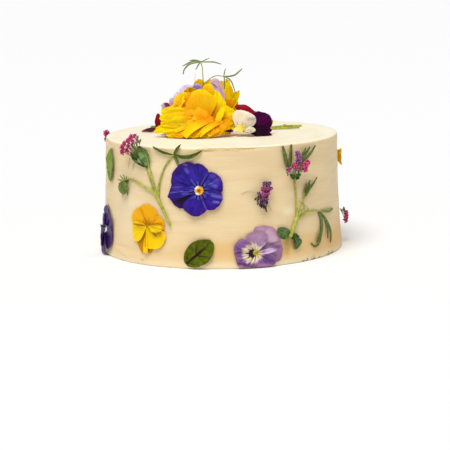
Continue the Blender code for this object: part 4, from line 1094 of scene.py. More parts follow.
# Blossom heads on the side: turn, height, standing distance, where their stalk starts as
# (across, up), then groups of florets as (across, up, out, radius, florets, shade), then dry bits as
# (across, up, out, radius, bits), then dark cups as (across, up).
BLOSSOMS = {
    "blossom_left": (-44.2, 99, 6.2, (5, -11), (
        (-10.3, -5.6, -0.6, 2.4, 4, 0.1), (-9.7, -1.6, 0, 2.2, 3, 0.45), (-6.5, 1.3, 0.2, 2.4, 4, 0.15),
        (-3.4, -3.8, 0.4, 2.2, 3, 0.25), (-2.3, 4.1, 0, 2.4, 4, 0.1), (0.7, 7, -0.4, 2.4, 4, 0.2),
        (4.4, 8.2, -1, 2, 3, 0.3), (3, 4.4, 0.4, 2.2, 3, 0.15), (-1, 0.1, 1, 2.2, 3, 0.5)), (
        (7.4, 7.2, -0.8, 1.8, 5), (9.4, 4.6, -0.8, 1.8, 4), (6.8, 3, 0.2, 1.8, 4)),
        ((3, 1.2), (5.2, -1.9))),
    "blossom_right": (35.6, 82, 6.4, (0, -9.5), (
        (0.2, 9.6, -1, 1.8, 3, 0.95), (0.3, 6.6, -0.4, 2.3, 4, 0.9), (0.4, 3, 0, 2.3, 4, 0.75),
        (-4.6, 0.1, 0.2, 2.2, 3, 0.2), (-2, -1.4, 0.6, 2, 3, 0.3), (3, -2, 0.8, 2.4, 4, 0),
        (6.2, -1, 0.6, 2.6, 4, -0.1), (9.4, 1, -0.4, 2.4, 4, 0), (5.8, -4.4, 0.2, 2.4, 3, 0.05),
        (-8.6, -3.4, -0.6, 1.8, 2, 0.6)), (
        (-6, -4, 0.4, 2.2, 7), (-9.8, -5.6, -1, 1.8, 3), (-3.4, -5.4, 0.2, 2, 4), (0.6, -4.4, 0.6, 2, 4)),
        ((-1.2, -1), (2.2, -2))),
    "blossom_edge": (93, 23.8, 4.4, (0, 6), (
        (-0.6, 2.4, 0.4, 2.6, 5, 0.1), (0.8, -1, 0.6, 2.8, 5, 0.15), (-1.4, -4, -0.2, 2.4, 4, 0.25)), (
        (-0.4, 5.4, -1, 2, 6),), ((0.2, 4),)),
    "blossom_rear": (-103, 95.4, 3.4, (0, -8), (
        (2.4, 3.4, -0.4, 2.4, 4, 0.2), (-3, 1.6, 0, 2.6, 5, 0.4), (0.5, -3.4, -0.6, 2.2, 3, 0.6)), (
        (2.6, -1.6, -0.6, 2.2, 5), (-1, -5.4, -0.8, 1.8, 4)), ((0.6, 0.6),)),
    "blossom_back": (-170.5, 89, 6.4, (1, -8), (
        (-4, 1.4, 0, 2.6, 5, 0.1), (4, 2.2, 0, 2.6, 5, 0.3), (0, -3, 0.2, 2.6, 4, 0.5),
        (0.4, 4.8, -0.4, 2.4, 4, 0.15), (0.2, 0.6, 1, 2.4, 4, 0.25)), (
        (0, -5.6, -0.4, 2.2, 5),), ((-1, -2), (1.4, -1.6))),
    "lavender_front": (18.5, 58.4, 4.4, (-1.4, -9.5), (
        (-0.9, 6.6, 0, 2, 3, 0.3), (2.2, 6.2, 0.4, 2.2, 4, 0.1), (5.8, 6.3, -0.2, 2, 3, 0.15),
        (3.4, 9.2, -0.2, 2, 4, 0.8), (5.4, 10.6, -1.2, 1.6, 3, 0.95), (1, 10.6, -1, 1.8, 4, 0.9),
        (-4, 2.3, 0.2, 2, 3, 0.6), (-0.7, 1.9, 0.8, 2.2, 4, 0.35), (3, 2.6, 0.4, 2, 3, 0.25),
        (-2.4, -1.9, 0.6, 2, 3, 0.75), (1.8, -1.6, 0.4, 2, 3, 0.5), (-0.8, -4.6, 0, 1.8, 3, 0.85)), (
        (2, 10.4, -1.4, 2.2, 5), (-5.7, -1.3, -0.6, 2, 5), (-2.2, 0, 0.4, 2, 4), (1.6, 0.2, 0.2, 2, 4),
        (-3.8, -5, -0.8, 1.9, 5), (1.6, -4.6, -0.6, 1.9, 5), (1, -8.2, -1.4, 1.6, 5)),
        ((0.4, 4), (-2, -3.6), (3.6, 4.2))),
    "lavender_back": (111, 34, 4.4, (0, -14), (
        (-0.6, 8.4, -0.8, 2.2, 4, 0.8), (2.4, 4.6, 0.2, 2.4, 4, 0.2), (-2.4, 4.2, 0.2, 2.4, 4, 0.3),
        (0.2, 1, 0.8, 2.4, 4, 0.4), (-2.4, -2.6, 0.2, 2.2, 3, 0.6), (1.6, -3, 0.4, 2.2, 4, 0.5)), (
        (-0.4, 6.4, -0.6, 2.4, 6), (3, -0.6, 0, 2.2, 5), (-0.6, -6.8, -1, 2.2, 6)),
        ((0, 2), (-1.4, -2))),
}
# Dry stalks beside the blossoms: three points as (across, up, out), radius and finish.
TWIGS = {
    "lavender_front": (
        ((-17.6, 2.9, 0.2), (-11, 4.9, 0.4), (-4.6, 2.4, 1.6), 0.2, "straw"),
        ((3.6, -6.6, 1.2), (5.6, -9, 0.6), (7.4, -12, 0.3), 0.42, "straw"),
        ((0.2, -5, 1.8), (1.8, -9.4, 1), (3.4, -13, 0.6), 0.7, "dark_bits")),
    "blossom_rear": (
        ((2, -13, 0.4), (3.6, -14.6, 1.2), (5, -15, 2), 0.4, "dusty_bits"),
        ((2.6, -27, 0.4), (3.6, -28.4, 1), (4.6, -30.6, 1.6), 0.4, "dusty_bits")),
}
# Slot, finishes of florets, of dry bits and of stalks, and size and length of a floret.
BLOSSOM_KINDS = {
    "blossom": ("blossom_pink", "pink", "dusty_bits", "needle", 3, 2),
    "lavender": ("blossom_purple", "purple", "dark_bits", "dark_bits", 2.2, 1.7),
}
GOLDEN_TURN = math.pi * (3 - math.sqrt(5))


def outward_ways(count, seed, lowest=-0.15):
    """Directions spread evenly over the half of a ball that faces out from the icing."""
    draw = np.random.default_rng(seed)
    ways = []
    total = int(count * 2 / (1 - lowest)) + 2
    for index in range(total):
        out = 1 - 2 * (index + 0.5) / total
        if out < lowest or len(ways) == count:
            continue
        girth = math.sqrt(1 - out * out)
        turn = index * GOLDEN_TURN + draw.uniform(-0.3, 0.3)
        ways.append(np.array((girth * math.cos(turn), girth * math.sin(turn), out)))
    return ways


def make_blossoms():
    for name, (turn, height, out, stalk, groups, bits, cups) in BLOSSOMS.items():
        wrap = on_side(turn, height)
        kind = "lavender" if name.startswith("lavender") else "blossom"
        slot, floret_finish, dry_finish, stalk_finish, floret_size, floret_length = BLOSSOM_KINDS[kind]
        petals, dry, stalks = (Piece(f"{name}_{part}") for part in ("florets", "cups", "stalks"))
        stalk = np.array((*stalk, 0.8))
        seed = 1
        for across, up, stand, radius, count, shade in groups:
            centre = np.array((across, up, out + stand))
            bead(dry, wrap, centre, (0.35 * radius,) * 3, 0.1, seed=seed)
            for way in outward_ways(count, seed, lowest=0):
                way = way + 0.45 * (centre - stalk) / np.linalg.norm(centre - stalk)
                size = floret_size * (0.85 + 0.15 * math.sin(2.3 * seed))
                floret(petals, wrap, centre + way * radius * 0.6, way, size,
                       shade + 0.15 * math.sin(1.7 * seed), seed, floret_length)
                seed += 1
            bend = 0.5 * (stalk + centre) + (0, 0, 0.4)
            tube(stalks, wrap, (stalk, bend, centre), (0.45, 0.3, 0.35), sides=6, steps=6, shade=0.1,
                 rest=False)
        for across, up, stand, radius, count in bits:
            centre = np.array((across, up, out + stand))
            for way in outward_ways(count, seed + 50):
                size = np.array((0.7, 1.3, 0.7)) * (0.85 + 0.3 * math.sin(seed) ** 2)
                bead(dry, wrap, centre + way * radius * 0.8, size, 0.2 + 0.6 * (seed % 3 == 0), columns=8,
                     rows=6, lump=0.15, seed=seed)
                seed += 1
        for across, up in cups:
            middle = np.array((across, up, out + 1.2))
            away = (middle - stalk) / np.linalg.norm(middle - stalk)
            tube(stalks, wrap, (middle - 2.4 * away, middle, middle + 2 * away), (0.5, 0.8, 0.95, 0.8),
                 sides=9, steps=8, shade=0.1, rest=False)
        twigs = {}
        for start, bend, end, girth, finish in TWIGS.get(name, ()):
            twig = twigs.setdefault(finish, Piece(f"{name}_{finish}_stalks"))
            tube(twig, wrap, (start, bend, end), (girth, girth, 0.7 * girth), sides=6, steps=10, rest=False)
        for finish, twig in twigs.items():
            twig.build(GREEN_FINISHES[finish], slot, name)
        petals.build(FLORET_FINISHES[floret_finish], slot, name)
        dry.build(GREEN_FINISHES[dry_finish], slot, name)
        stalks.build(GREEN_FINISHES[stalk_finish], slot, name)


# Herb sprigs on the side: turn and height of the fork, then stems as (points, radii), leaves as
# (finish, base, tip, half width, bow, lift, cup, shade, seed, how blunt), needles as (points, half
# width, lift), buds as (middle, radii) and thin spikes as (base, tip).
SPRIGS = {
    "sprig_left": ((-31.6, 58.7), (
        (((12.4, -23.7), (6.9, -12.7), (1.9, -3.2), (0.4, 1)), (0.95, 1.15, 1.3, 1)),
        (((1, -2.6), (1.7, 8.2), (3.9, 16.4), (8.7, 26.2), (16.2, 34.7)), (1, 0.85, 0.75, 0.7)),
        (((0.6, -2.2), (-3.3, 2.3), (-15.9, 7.8), (-25.5, 11.1), (-35, 11.2), (-39.4, 8.4)),
         (0.95, 0.75, 0.65)),
        (((0.2, -0.8), (-2.2, 6.3), (-5.4, 16.6), (-8.8, 26.6)), (0.9, 0.65, 0.6)),
        (((-0.4, -1.8), (-4.3, 6), (-8, 15.6), (-12.2, 24.6)), (0.9, 0.65, 0.6))), (
        ("grey_leaf", (-7.8, 24), (-19.2, 40.4), 4.8, -2.4, 1.6, 1.8, 0.5, 2),
        ("leaf", (-10, 23.2), (-29, 34.6), 2.7, -0.3, 1.6, 2, 0.2, 6),
        ("grey_leaf", (-10.4, 24), (-22.8, 37.2), 1.7, 0.4, 2.8, 1, 0.85, 9),
        ("needle", (15.8, 34.8), (-4, 41), 1.3, 0.9, 0.8, 0.9, 0.3, 4),
        ("needle", (15.8, 34.4), (22.4, 43.6), 1.3, 0, 0.8, 0.7, 0.5, 7),
        ("needle", (15.8, 34.9), (40.4, 38.6), 1.8, -3.4, 1.2, 0.9, 0.35, 12)), (
        (((16.4, 33.8), (18.6, 29.8), (21.6, 24)), 1.25, 0.1),), (
        ((-37.4, 4, 2.8), (6, 5.6, 2.8)),), (
        ((-40.4, 6.2), (-47, 6.6)), ((-40.4, 7.4), (-48.6, 10)), ((-39.6, 8.6), (-44.4, 13.6)),
        ((-38.4, 9.2), (-39.2, 15)), ((-37.4, 9.2), (-34.4, 14.2)),
        ((-36.4, 8.2), (-31.8, 11.8)), ((-39.6, -0.4), (-41.2, -3.4)),
        ((-35.8, -0.2), (-33.4, -2.6)))),
    "sprig_right": ((36.8, 38.6), (
        (((-9.4, -15.6), (-5.4, -7.5), (-1.4, 0.4)), (1.5, 1.8, 1.6)),
        (((-1.3, -1), (-1.4, 9), (-1.2, 18.6), (-1.8, 34)), (1.3, 0.85, 0.7, 0.75)),
        (((-0.8, -0.6), (4.4, 7), (6.8, 13.2), (7.8, 19.5)), (1.1, 0.75, 0.6)),
        (((-0.8, -1.8), (9, 2), (18.6, 2.6), (28.4, 0.8)), (1, 0.75, 0.65)),
        (((2, 12.6), (5.4, 10.4), (8.2, 8), (7.4, 4.8)), (0.24, 0.2)),
        (((6.6, 5.6), (9.4, 7.8), (12.2, 5.2), (9.8, 3), (8, 4.6)), (0.24, 0.2))), (
        ("needle", (27.6, 1.4), (51.6, -0.2), 1.7, -1.2, 0.8, 0.6, 0.85, 5),
        ("leaf", (-9.4, -14.4), (-20.6, -8.9), 4.9, 0.4, 1.2, 1.2, 0.5, 3, 0.42),
        ("leaf", (-6.6, -15.8), (-4.4, -26.8), 3.9, 2.8, 1.6, 1.4, 0.4, 8, 0.42),
        ("leaf", (-9.2, -14.6), (-0.6, -17.8), 2, 1.2, 1.6, 0.8, 0.3, 9, 0.6),
        ("leaf", (-1.6, 30.6), (2.4, 38.6), 2.3, -0.6, 1.4, 1.2, 0.05, 12),
        ("leaf", (-1.8, 31.6), (-6.4, 35.6), 1.9, 0.4, 1.4, 1.2, 0.05, 14),
        ("grey_leaf", (25.6, -15.4), (20.8, -26.4), 2.5, 0, 0.5, 0.5, 0.95, 15),
        ("needle", (8.2, 15.6), (15.2, 25.6), 1.9, 0.5, 0.9, 1, 0.25, 16)), (
        (((-6, 38), (-9.7, 45), (-11.6, 52.1), (-13.8, 59.6)), 1.75, 2),
        (((-4.6, 39), (-6.4, 43.6), (-5.9, 51.6), (-5.4, 60.4)), 1.65, 2),
        (((3, 43), (5.4, 48.4), (9.6, 56)), 1.2, 2.4),
        (((4.2, 41.4), (8, 48.6), (14.6, 56.6)), 1.4, 2.2),
        (((6, 41), (11, 46.6), (16.4, 51.4), (21.6, 57)), 1.4, 2),
        (((8, 14.5), (9.2, 21.2), (14.4, 28.6)), 1.2, 1.6),
        (((11.6, 18.6), (17.4, 24.1), (23.4, 30.2)), 1.1, 1.4),
        (((25.6, 1), (28.5, -8.3), (26.2, -17.3), (19.6, -24)), 1.75, 1.2),
        (((27.6, 0.6), (37.6, -9.8), (42.6, -19.1), (40.9, -28)), 1.45, 1),
        (((34.6, -6.4), (37, -14), (35.3, -23.4)), 1.3, 1.6),
        (((27.2, -12), (26.6, -19), (23.6, -25.6)), 1.1, 1),
        (((13.6, -24), (17.8, -27.4), (23, -26.2)), 1, 1)), (), ()),
    "sprig_back": ((-166, 62), (
        (((-8, -18), (-4, -8), (0, 1)), (1.3, 1.5, 1.5)),
        (((-0.2, -1.6), (-2, 10), (-5.6, 18), (-7, 24)), (1.2, 0.9, 0.8)),
        (((-0.4, -1.6), (8, 7), (18, 9), (28, 6)), (1.1, 0.9, 0.7))), (
        ("grey_leaf", (26.6, 6.6), (40, 15), 3, 1, 1.2, 1.2, 0.3, 2),
        ("grey_leaf", (26.6, 7), (44, 1), 2.6, -1, 1.2, 1.2, 0.4, 5),
        ("leaf", (-5.6, 21), (-20, 30), 3.2, 1, 1.2, 1.2, 0.2, 7)), (
        (((-6.8, 22), (-3, 28), (2, 32.6)), 1.5, 1.5),
        (((26.6, 7.4), (32, -2), (33, -14)), 1.6, 1),
        (((1.4, 0.6), (6, -6), (14, -10)), 1.5, 1)), (), ()),
}


def make_sprigs():
    for name, (fork, stem_lines, leaf_lines, needle_lines, buds, spikes) in SPRIGS.items():
        wrap = on_side(*fork)
        stems = Piece(name + "_stems")
        needles = Piece(name + "_needles")
        for points, radii in stem_lines:
            tube(stems, wrap, points, radii, shade=0.35)
        for points, half_width, lift in needle_lines:
            needle(needles, wrap, points, half_width, shade=0.3, lift=lift)
        leaves = {}
        for finish, *line in leaf_lines:
            piece = needles if finish == "needle" else leaves.setdefault(finish, Piece(f"{name}_{finish}"))
            leaf(piece, wrap, *line, grid=SPRIG_LEAF_GRID)
        for middle, radii in buds:
            bead(needles, wrap, middle, radii, 0.35, columns=24, rows=16, lump=0.07)
        for base, tip in spikes:
            bend = 0.5 * (np.array(base) + tip) + (0.2, 0.3)
            needle(needles, wrap, (base, bend, tip), 0.5, shade=0, lift=1.5)
        stems.build(GREEN_FINISHES["stem"], "herb_green", name)
        needles.build(GREEN_FINISHES["needle"], "herb_green", name)
        for finish, piece in leaves.items():
            piece.build(GREEN_FINISHES[finish], "herb_green", name)


# Petals of the blooms that the camera sees, as root and tip (across, down, depth) in the frame,
# half width, belly, cup, curl, ruffle, shade and the way the petal faces. The higher shades give orange,
# partly painted shade on petals that lie in shadow.
VIEWER = (0, -1, 0.25)
UPWARD = (0, -0.45, 1)
FORWARD = (-0.15, -0.8, 0.6)
LEANING = (0, -0.8, 0.6)
ASIDE = (-0.2, -0.8, 0.6)
BACKWARD = (0, 1, 0.3)
BLOOM_PETALS = {
    "bloom_front": (
        ((203, 112, -8), (203, 89, -4), 17, 0.1, -0.1, 0.02, 0.04, 0.5, VIEWER),
        ((198, 119, -15), (177.6, 94.6, -10), 13.4, 0.05, -0.04, 0, 0.025, 0.9, VIEWER),
        ((207, 105, -13), (208.5, 83.6, -9), 6.5, 0.06, 0.1, 0.04, 0.05, 0.55, VIEWER),
        ((211, 119, -19), (214, 90.5, -10), 11.5, 0.1, -0.08, 0, 0.045, 0.2, VIEWER),
        ((204, 120, -22), (199.5, 89.5, -13), 13.5, 0.06, -0.03, 0, 0.03, 0.6, VIEWER),
        ((197, 115.5, -19), (161, 111.5, -12), 7.5, 0.06, 0.1, 0.01, 0.025, 0.5, FORWARD),
        ((198, 118, -22), (159.6, 117.5, -17), 9, 0.06, 0.1, 0.01, 0.03, 0.45, FORWARD),
        ((199, 120, -25), (160.5, 123.5, -21), 8.5, 0.06, 0.1, 0, 0.03, 0.5, FORWARD),
        ((204, 123, -29), (166, 134.5, -27), 9.5, 0.08, 0.1, 0, 0.035, 0.95, FORWARD),
        ((200, 121, -29), (154, 131.2, -21), 8, 0.06, 0.1, 0, 0.02, 0.15, FORWARD, {"round_tip": 0.5}),
        ((206, 122, -31), (185, 136.5, -34), 9.5, 0.09, 0.1, 0, 0.04, 0.5, FORWARD),
        ((209, 122, -32), (201, 137.8, -37), 10.5, 0.1, 0.1, 0, 0.04, 0.65, FORWARD),
        ((213, 122, -31), (215, 136.6, -37), 11, 0.1, 0.12, 0, 0.04, 0.6, FORWARD),
        ((216, 121, -28), (227, 133.5, -31), 9, 0.09, 0.12, 0, 0.04, 0.6, (0.1, -0.8, 0.6)),
        ((217, 122, -25), (234.5, 128.5, -24), 7.5, 0.09, 0.1, 0, 0.03, 0.5, (0.2, -0.9, 0.4)),
        ((217, 118, -23), (236.5, 114, -18), 9, 0.09, 0.1, 0, 0.03, -0.1, (0.1, -0.9, 0.4))),
    "bloom_back": (
        ((227, 119, 16), (227.5, 82, 18), 7.5, 0.06, 0.1, 0, 0.04, -0.2, ASIDE),
        ((225, 117, 14), (240.8, 91, 14), 4.8, 0.06, 0.2, 0.1, 0.05, 0.1, ASIDE),
        ((229, 110, 12), (236, 99.5, 10), 6.5, 0.06, 0.1, 0, 0.04, 0.6, VIEWER),
        ((200, 97, 24), (199.5, 79, 26), 6.5, 0.06, 0.12, 0.04, 0.05, 0.6, VIEWER),
        ((207, 97, 24), (210.5, 79.5, 27), 6, 0.06, 0.12, 0.04, 0.05, 0.45, VIEWER),
        ((203, 130, 24), (203.5, 93, 24), 5, 0.03, 0.12, 0, 0.02, 0.8, VIEWER)),
}
# Narrow folded petals across the front bloom: points of the frame, half widths, shade and the way
# each faces. The orange fold under the middle, shade 0.85, carries painted shade.
BLOOM_FOLDS = (
    (((217, 124.5, -33), (219.5, 118, -29), (223.6, 107.8, -23)), (1.6, 3, 3.2, 2.2), 0, (-0.5, -0.9, 0.3)),
    (((213, 120.5, -32), (201, 124, -35), (191, 129.5, -37), (184.5, 136.8, -38)), (1.4, 3.4, 4.2, 3), 0.05,
     FORWARD),
    (((223, 121.5, -32), (214, 125, -36), (205, 130.5, -39), (199, 136.4, -40)), (1.2, 2.6, 3, 1.8), 0.15,
     FORWARD),
    (((212, 117, -28), (206, 120.5, -31), (199, 120.5, -31), (193, 117.5, -29)), (1.2, 2.4, 2.6, 1.4), 0.85,
     FORWARD),
    (((224, 127, -34), (216, 131, -38), (208, 135.5, -40)), (1.2, 2.6, 1.8), 0.55, FORWARD),
)
# Rings of petals round a bloom: middle, then rings as (first bearing, last bearing, petals, root
# radius, root height, tip radius, tip height, half width, belly, curl, ruffle).
BLOOMS = {
    "bloom_front": ((-20.5, -10), (24, 19.5, 30), (
        (20, 200, 7, 6, 3, 31, 3.5, 11, 0.06, 0.02, 0.06),
        (35, 190, 6, 5, 8, 28, 13, 11, 0.1, 0.03, 0.06),
        (20, 148, 4, 5, 10, 23, 26, 11, 0.14, 0.02, 0.05),
        (30, 160, 4, 4, 14, 14, 37, 11, 0.18, -0.05, 0.05))),
    "bloom_back": ((-1, 33.5), (15, 11, 37), (
        (0, 330, 10, 5, 3, 21.5, 4, 9.5, 0.08, 0.02, 0.07),
        (15, 345, 8, 4, 10, 20, 17, 9, 0.12, 0.03, 0.07),
        (0, 320, 7, 4, 20, 15, 30, 8, 0.14, 0.02, 0.07),
        (20, 350, 6, 2, 26, 8, 40.5, 7.5, 0.16, -0.04, 0.06))),
}


def bloom_heart(piece, middle, radii):
    """The crumpled inner petals of a bloom as one folded dome."""
    rows, columns = HEART_GRID
    rise = np.linspace(0, 1, rows)[:, None]
    around = all_round(columns)
    fold = 1 + 0.07 * np.sin(6 * around + 5 * rise) + 0.04 * np.sin(13 * around - 7 * rise)
    girth = np.cos(rise * 1.5) ** 0.7 * (0.72 + 0.28 * np.sin(math.pi * rise ** 0.7)) * fold
    dome = vectors(middle[0] + radii[0] * girth * np.cos(around),
                   middle[1] + radii[1] * girth * np.sin(around),
                   CAKE_HEIGHT + 0.4 + radii[2] * np.sin(rise * 1.5))
    piece.add(dome, tube_faces(rows, columns), flat_with(dome, 0),
              vectors(0.35 + 0.5 * rise, np.sin(3 * around), 0.75))


def make_blooms():
    for name, (middle, radii, rings) in BLOOMS.items():
        piece = Piece(name + "_petals")
        bloom_heart(piece, middle, np.array(radii) * 0.92)
        seed = 2
        foot = np.array((*middle, CAKE_HEIGHT))
        for first, last, count, root_radius, root_height, tip_radius, tip_height, *form in rings:
            width, belly, curl, ruffle = form
            low = tip_height < LOW_TIP
            for index in range(count):
                spread = (last - first) * index / (count - 1)
                bearing = math.radians(first + spread + 7 * math.sin(2.7 * seed))
                out = np.array((math.cos(bearing), math.sin(bearing), 0))
                reach = 1 + 0.07 * math.sin(1.9 * seed)
                root = foot + root_radius * out + (0, 0, root_height)
                tip = foot + tip_radius * reach * out + (0, 0, tip_height * reach)
                blade(piece, root, tip, out * 0.5 + (0, 0, 1) if low else out + (0, 0, 0.3), width, belly,
                      0.2 if low else -0.2, ruffle, seed, 0.3 + 0.25 * math.sin(1.3 * seed), curl=curl)
                seed += 1
        for root, tip, width, belly, cup, curl, ruffle, shade, face, *more in BLOOM_PETALS[name]:
            blade(piece, seen(*root), seen(*tip), face, width, belly, cup, ruffle, seed, shade, curl=curl,
                  pleat=0.004, ragged=0.016, grid=(24, 34), **dict(*more))
            seed += 1
        for route, half_widths, shade, face in BLOOM_FOLDS if name == "bloom_front" else ():
            ribbon(piece, [seen(*point) for point in route], half_widths, face, seed, shade)
            seed += 1
        piece.build(PETAL_FINISHES["bloom"], "bloom_yellow", name)


# Petals of the bouquet's small flowers as (name, node, finish, slot, first seed), then petals as root
# and tip (across, down, depth) in the frame, half width, belly, cup, ruffle, shade and facing.
TOP_PETALS = (
    ("viola_lilac_petals", "viola_lilac", "pale", "petal_lilac", 3, (
        ((194, 104, 13), (183, 86, 16), 10.5, 0.1, 0, 0.025, 0.2, VIEWER),
        ((197.6, 98, 11), (196.6, 83.4, 13), 5.6, 0.08, 0.05, 0.03, 0.95, VIEWER),
        ((187, 106, 14), (175.5, 93, 17), 7.5, 0.1, 0.05, 0.03, 0.1, VIEWER),
        ((194, 104, 20), (186, 90, 24), 10, 0.1, 0.05, 0.05, 0.4, BACKWARD),
        ((196, 130.4, 20), (191, 97, 21.5), 5, 0.03, 0, 0.02, 0.5, BACKWARD))),
    ("viola_mauve_petals", "viola_mauve", "mauve", "petal_white", 8, (
        ((178, 113, 12), (161.5, 104.5, 14), 5, 0.1, 0.1, 0.04, 0.1, VIEWER),
        ((179, 108, 13), (170, 98.5, 15), 4.5, 0.1, 0.1, 0.04, 0.1, VIEWER),
        ((171, 107, 10), (163.5, 103, 11), 1.6, 0.1, 0.3, 0.04, 0.9, VIEWER),
        ((176, 116, 12), (161.5, 109, 13), 4.5, 0.1, 0.1, 0.04, 0, VIEWER))),
    ("viola_red_left_petals", "viola_red_left", "red", "petal_red", 13, (
        ((160, 131.8, 12.5), (158, 113.4, 12), 3.6, 0.1, 0.3, 0.04, 0.45, VIEWER),
        ((160, 129, 14), (141.6, 131.3, 15.5), 2.5, 0, 0.1, 0.01, 0.8, (0, -0.7, 0.75)))),
    ("viola_red_right_petals", "viola_red_right", "red", "petal_red", 18, (
        ((256, 113.4, -4), (234.9, 106, -5), 3.9, 0.08, -0.1, 0.02, 0.2, VIEWER, {"neck": 0.22}),
        ((258, 117, 0), (243, 113.5, -3), 3, 0.06, 0.05, 0.02, 0.9, VIEWER),
        ((256, 133.4, -4), (256.5, 114.5, -4), 3, 0.04, 0.05, 0.02, 0.6, VIEWER))),
    ("viola_white_petals", "viola_white", "veined", "petal_white", 23, (
        ((239.6, 130.6, -28), (247, 111.6, -20), 10.4, 0.03, 0.02, 0.018, 0.2, VIEWER,
         {"neck": 0.24, "round_tip": 0.1, "flare": 1.1, "pleat": 0.002, "waves": 2}),
        ((243, 131.5, -31), (255.5, 129.8, -31), 3.4, 0.1, 0.1, 0.05, 0.3, LEANING))),
    ("viola_white_dark_petals", "viola_white", "wine", "petal_plum", 61, (
        ((250, 127, -22), (270.5, 116.5, -16), 9, 0.08, 0, 0.025, 0.3, VIEWER),
        ((248, 131, -28), (272, 135.4, -29), 5, 0.05, 0.05, 0.02, 0.8, LEANING, {"round_tip": 0.5}),
        ((250, 131, -27), (272, 130, -25), 4.4, 0.06, 0.05, 0.025, 0.9, LEANING),
        ((256, 127, -19), (272, 121, -15), 6.5, 0.08, 0, 0.03, 0.1, VIEWER))),
    ("viola_white_yellow_petal", "viola_white", "cream", "petal_white", 67, (
        ((246.5, 127.8, -29), (233.8, 130.2, -32), 3.6, 0.1, 0.1, 0.05, 0.3, LEANING),)),
    ("petal_maroon_blade", "petal_maroon", "wine", "petal_red", 71, (
        ((225.3, 131.2, -31), (233, 131.6, -35), 2.6, 0.05, 0.1, 0.05, 0.6, UPWARD),)),
)
# The lilac petal bent like an arch: points of the frame, half widths, shade and the way it faces.
ARCH = (
    (((211.4, 82.2, 10), (215.2, 86.5, 10), (218.8, 94, 9), (221.4, 101, 8), (221.4, 108, 7)),
     (2.2, 5, 3.8, 2.2, 1.6), 0.2, (-0.3, -0.8, 0.6)),
    (((210.8, 81.8, 11), (215.6, 82, 11), (220, 88, 11), (223, 97, 10), (222.6, 107, 9)),
     (1.6, 3.4, 2.2, 1.6, 1.3), -0.2, (0.2, -0.8, 0.7)),
)


def make_top_petals():
    for name, node, finish, slot, seed, petals in TOP_PETALS:
        piece = Piece(name)
        for root, tip, width, belly, cup, ruffle, shade, face, *more in petals:
            options = {"neck": 0.3, "pleat": 0.003, **dict(*more)}
            blade(piece, seen(*root), seen(*tip), face, width, belly, cup, ruffle, seed, shade, ragged=0.01,
                  grid=(24, 30), **options)
            seed += 1
        piece.build(PETAL_FINISHES[finish], slot, node)
    arch = Piece("petal_lilac_arch")
    for seed, (route, half_widths, shade, face) in enumerate(ARCH, 3):
        ribbon(arch, [seen(*point) for point in route], half_widths, face, seed, shade)
    arch.build(PETAL_FINISHES["blush"], "petal_lilac", "petal_lilac")


# Flat flowers at the back of the bouquet: middle, turn, tilt, finish, eye, then petals as on the side.
TOP_FLOWERS = {
    "viola_violet_back": ((-32, 44, 106.5), 172, 52, "blue", 1.7, (
        (fan(60, 15, 54), 1, 0, 0.2), (fan(125, 15, 54), 0.8, 1, 0.1), (fan(195, 13.5, 50), 1, 2, 0.5),
        (fan(-15, 13.5, 50), 1, 3, 0.4), (fan(-90, 7.6, 56), 0.8, 4, 0.3))),
    "viola_yellow_back": ((34, 36, 106), 150, 54, "yellow", 1.3, (
        (fan(65, 14, 56), 1, 0, 0.95), (fan(130, 14, 54), 0.8, 1, 0.9), (fan(200, 12.5, 50), 1, 2, 0.1),
        (fan(-15, 12.5, 50), 1, 3, 0.1), (fan(-90, 7.2, 56), 0.8, 4, 0.05))),
}
TOP_GAP = 0.7


def make_top_flowers():
    for name, (middle, turn, tilt, finish, eye_radius, petals) in TOP_FLOWERS.items():
        wrap = facing(middle, turn, tilt)
        room = (middle[2] - CAKE_HEIGHT - TOP_GAP) / math.cos(math.radians(tilt))
        piece = Piece(name + "_petals")
        for index, petal in enumerate(petals):
            flat_petal(piece, wrap, petal, index, room, ruffle=0.5)
        flower_eye(piece, wrap, eye_radius, eye_radius)
        piece.build(PETAL_FINISHES[finish], "petal_" + finish, name)


# Leaves of the bouquet as (base, tip, half width, lift, finish), stems as (points, radii, knot) and fine
# sprigs as (depth, stems, needles).
TOP_LEAVES = {
    "leaf_top_left": ((-54, 32), (-63, 41), 2.2, 1.8, "grey_leaf"),
    "leaf_top_back": ((2, 58), (12, 78), 8.5, 1.6, "leaf"),
}
TOP_STEMS = {
    "stem_right_back": (((43.5, 24), (56, 27), (71, 31)), (0.85, 1.05, 0.85), (56, 27)),
    "stem_right_front": (((44.5, 11.5), (57, 14), (68.5, 17.6)), (0.75, 0.9, 0.75), None),
}
TOP_SPRIGS = {
    "sprig_top_left": (11.8, (
        (((-14.6, 134), (-15, 147), (-15.4, 155), (-16.6, 160.6)), (0.45, 0.42, 0.5)),
        (((-22.5, 135), (-22.3, 142), (-21.6, 150)), (0.16, 0.12))), (
        (((-15.9, 160.7), (-24, 160.8), (-32.5, 156.9)), 0.95),
        (((-15.7, 160.2), (-26, 158.6), (-31, 154), (-32.1, 149.7)), 0.95),
        (((-16.1, 160.5), (-18.6, 158), (-21.1, 153.6)), 0.8),
        (((-16.6, 160.9), (-22, 162), (-26.4, 161.8)), 0.7),
        (((-17.3, 160.1), (-6, 160), (1.3, 157.9)), 0.85),
        (((-16.9, 159.9), (-13, 161.8), (-9, 163.4)), 0.6))),
    "sprig_top_right": (8.6, (
        (((-13.4, 140.2), (-9, 145.8), (-3, 148.4), (3.4, 147.5)), (0.5, 0.42, 0.4)),), (
        (((3, 146.8), (3.6, 150), (4.7, 154.5)), 0.65),
        (((2.4, 147.4), (12, 148.4), (19.2, 154)), 1),
        (((3.2, 148.2), (3.8, 143), (3.6, 136.6)), 0.75),
        (((2.6, 147.8), (9, 144), (13, 133.4)), 0.75))),
}


def lying(points):
    """Flat points (x, y, out) laid on the cake's top."""
    return np.asarray(points, float) + (0, 0, CAKE_HEIGHT + GAP)


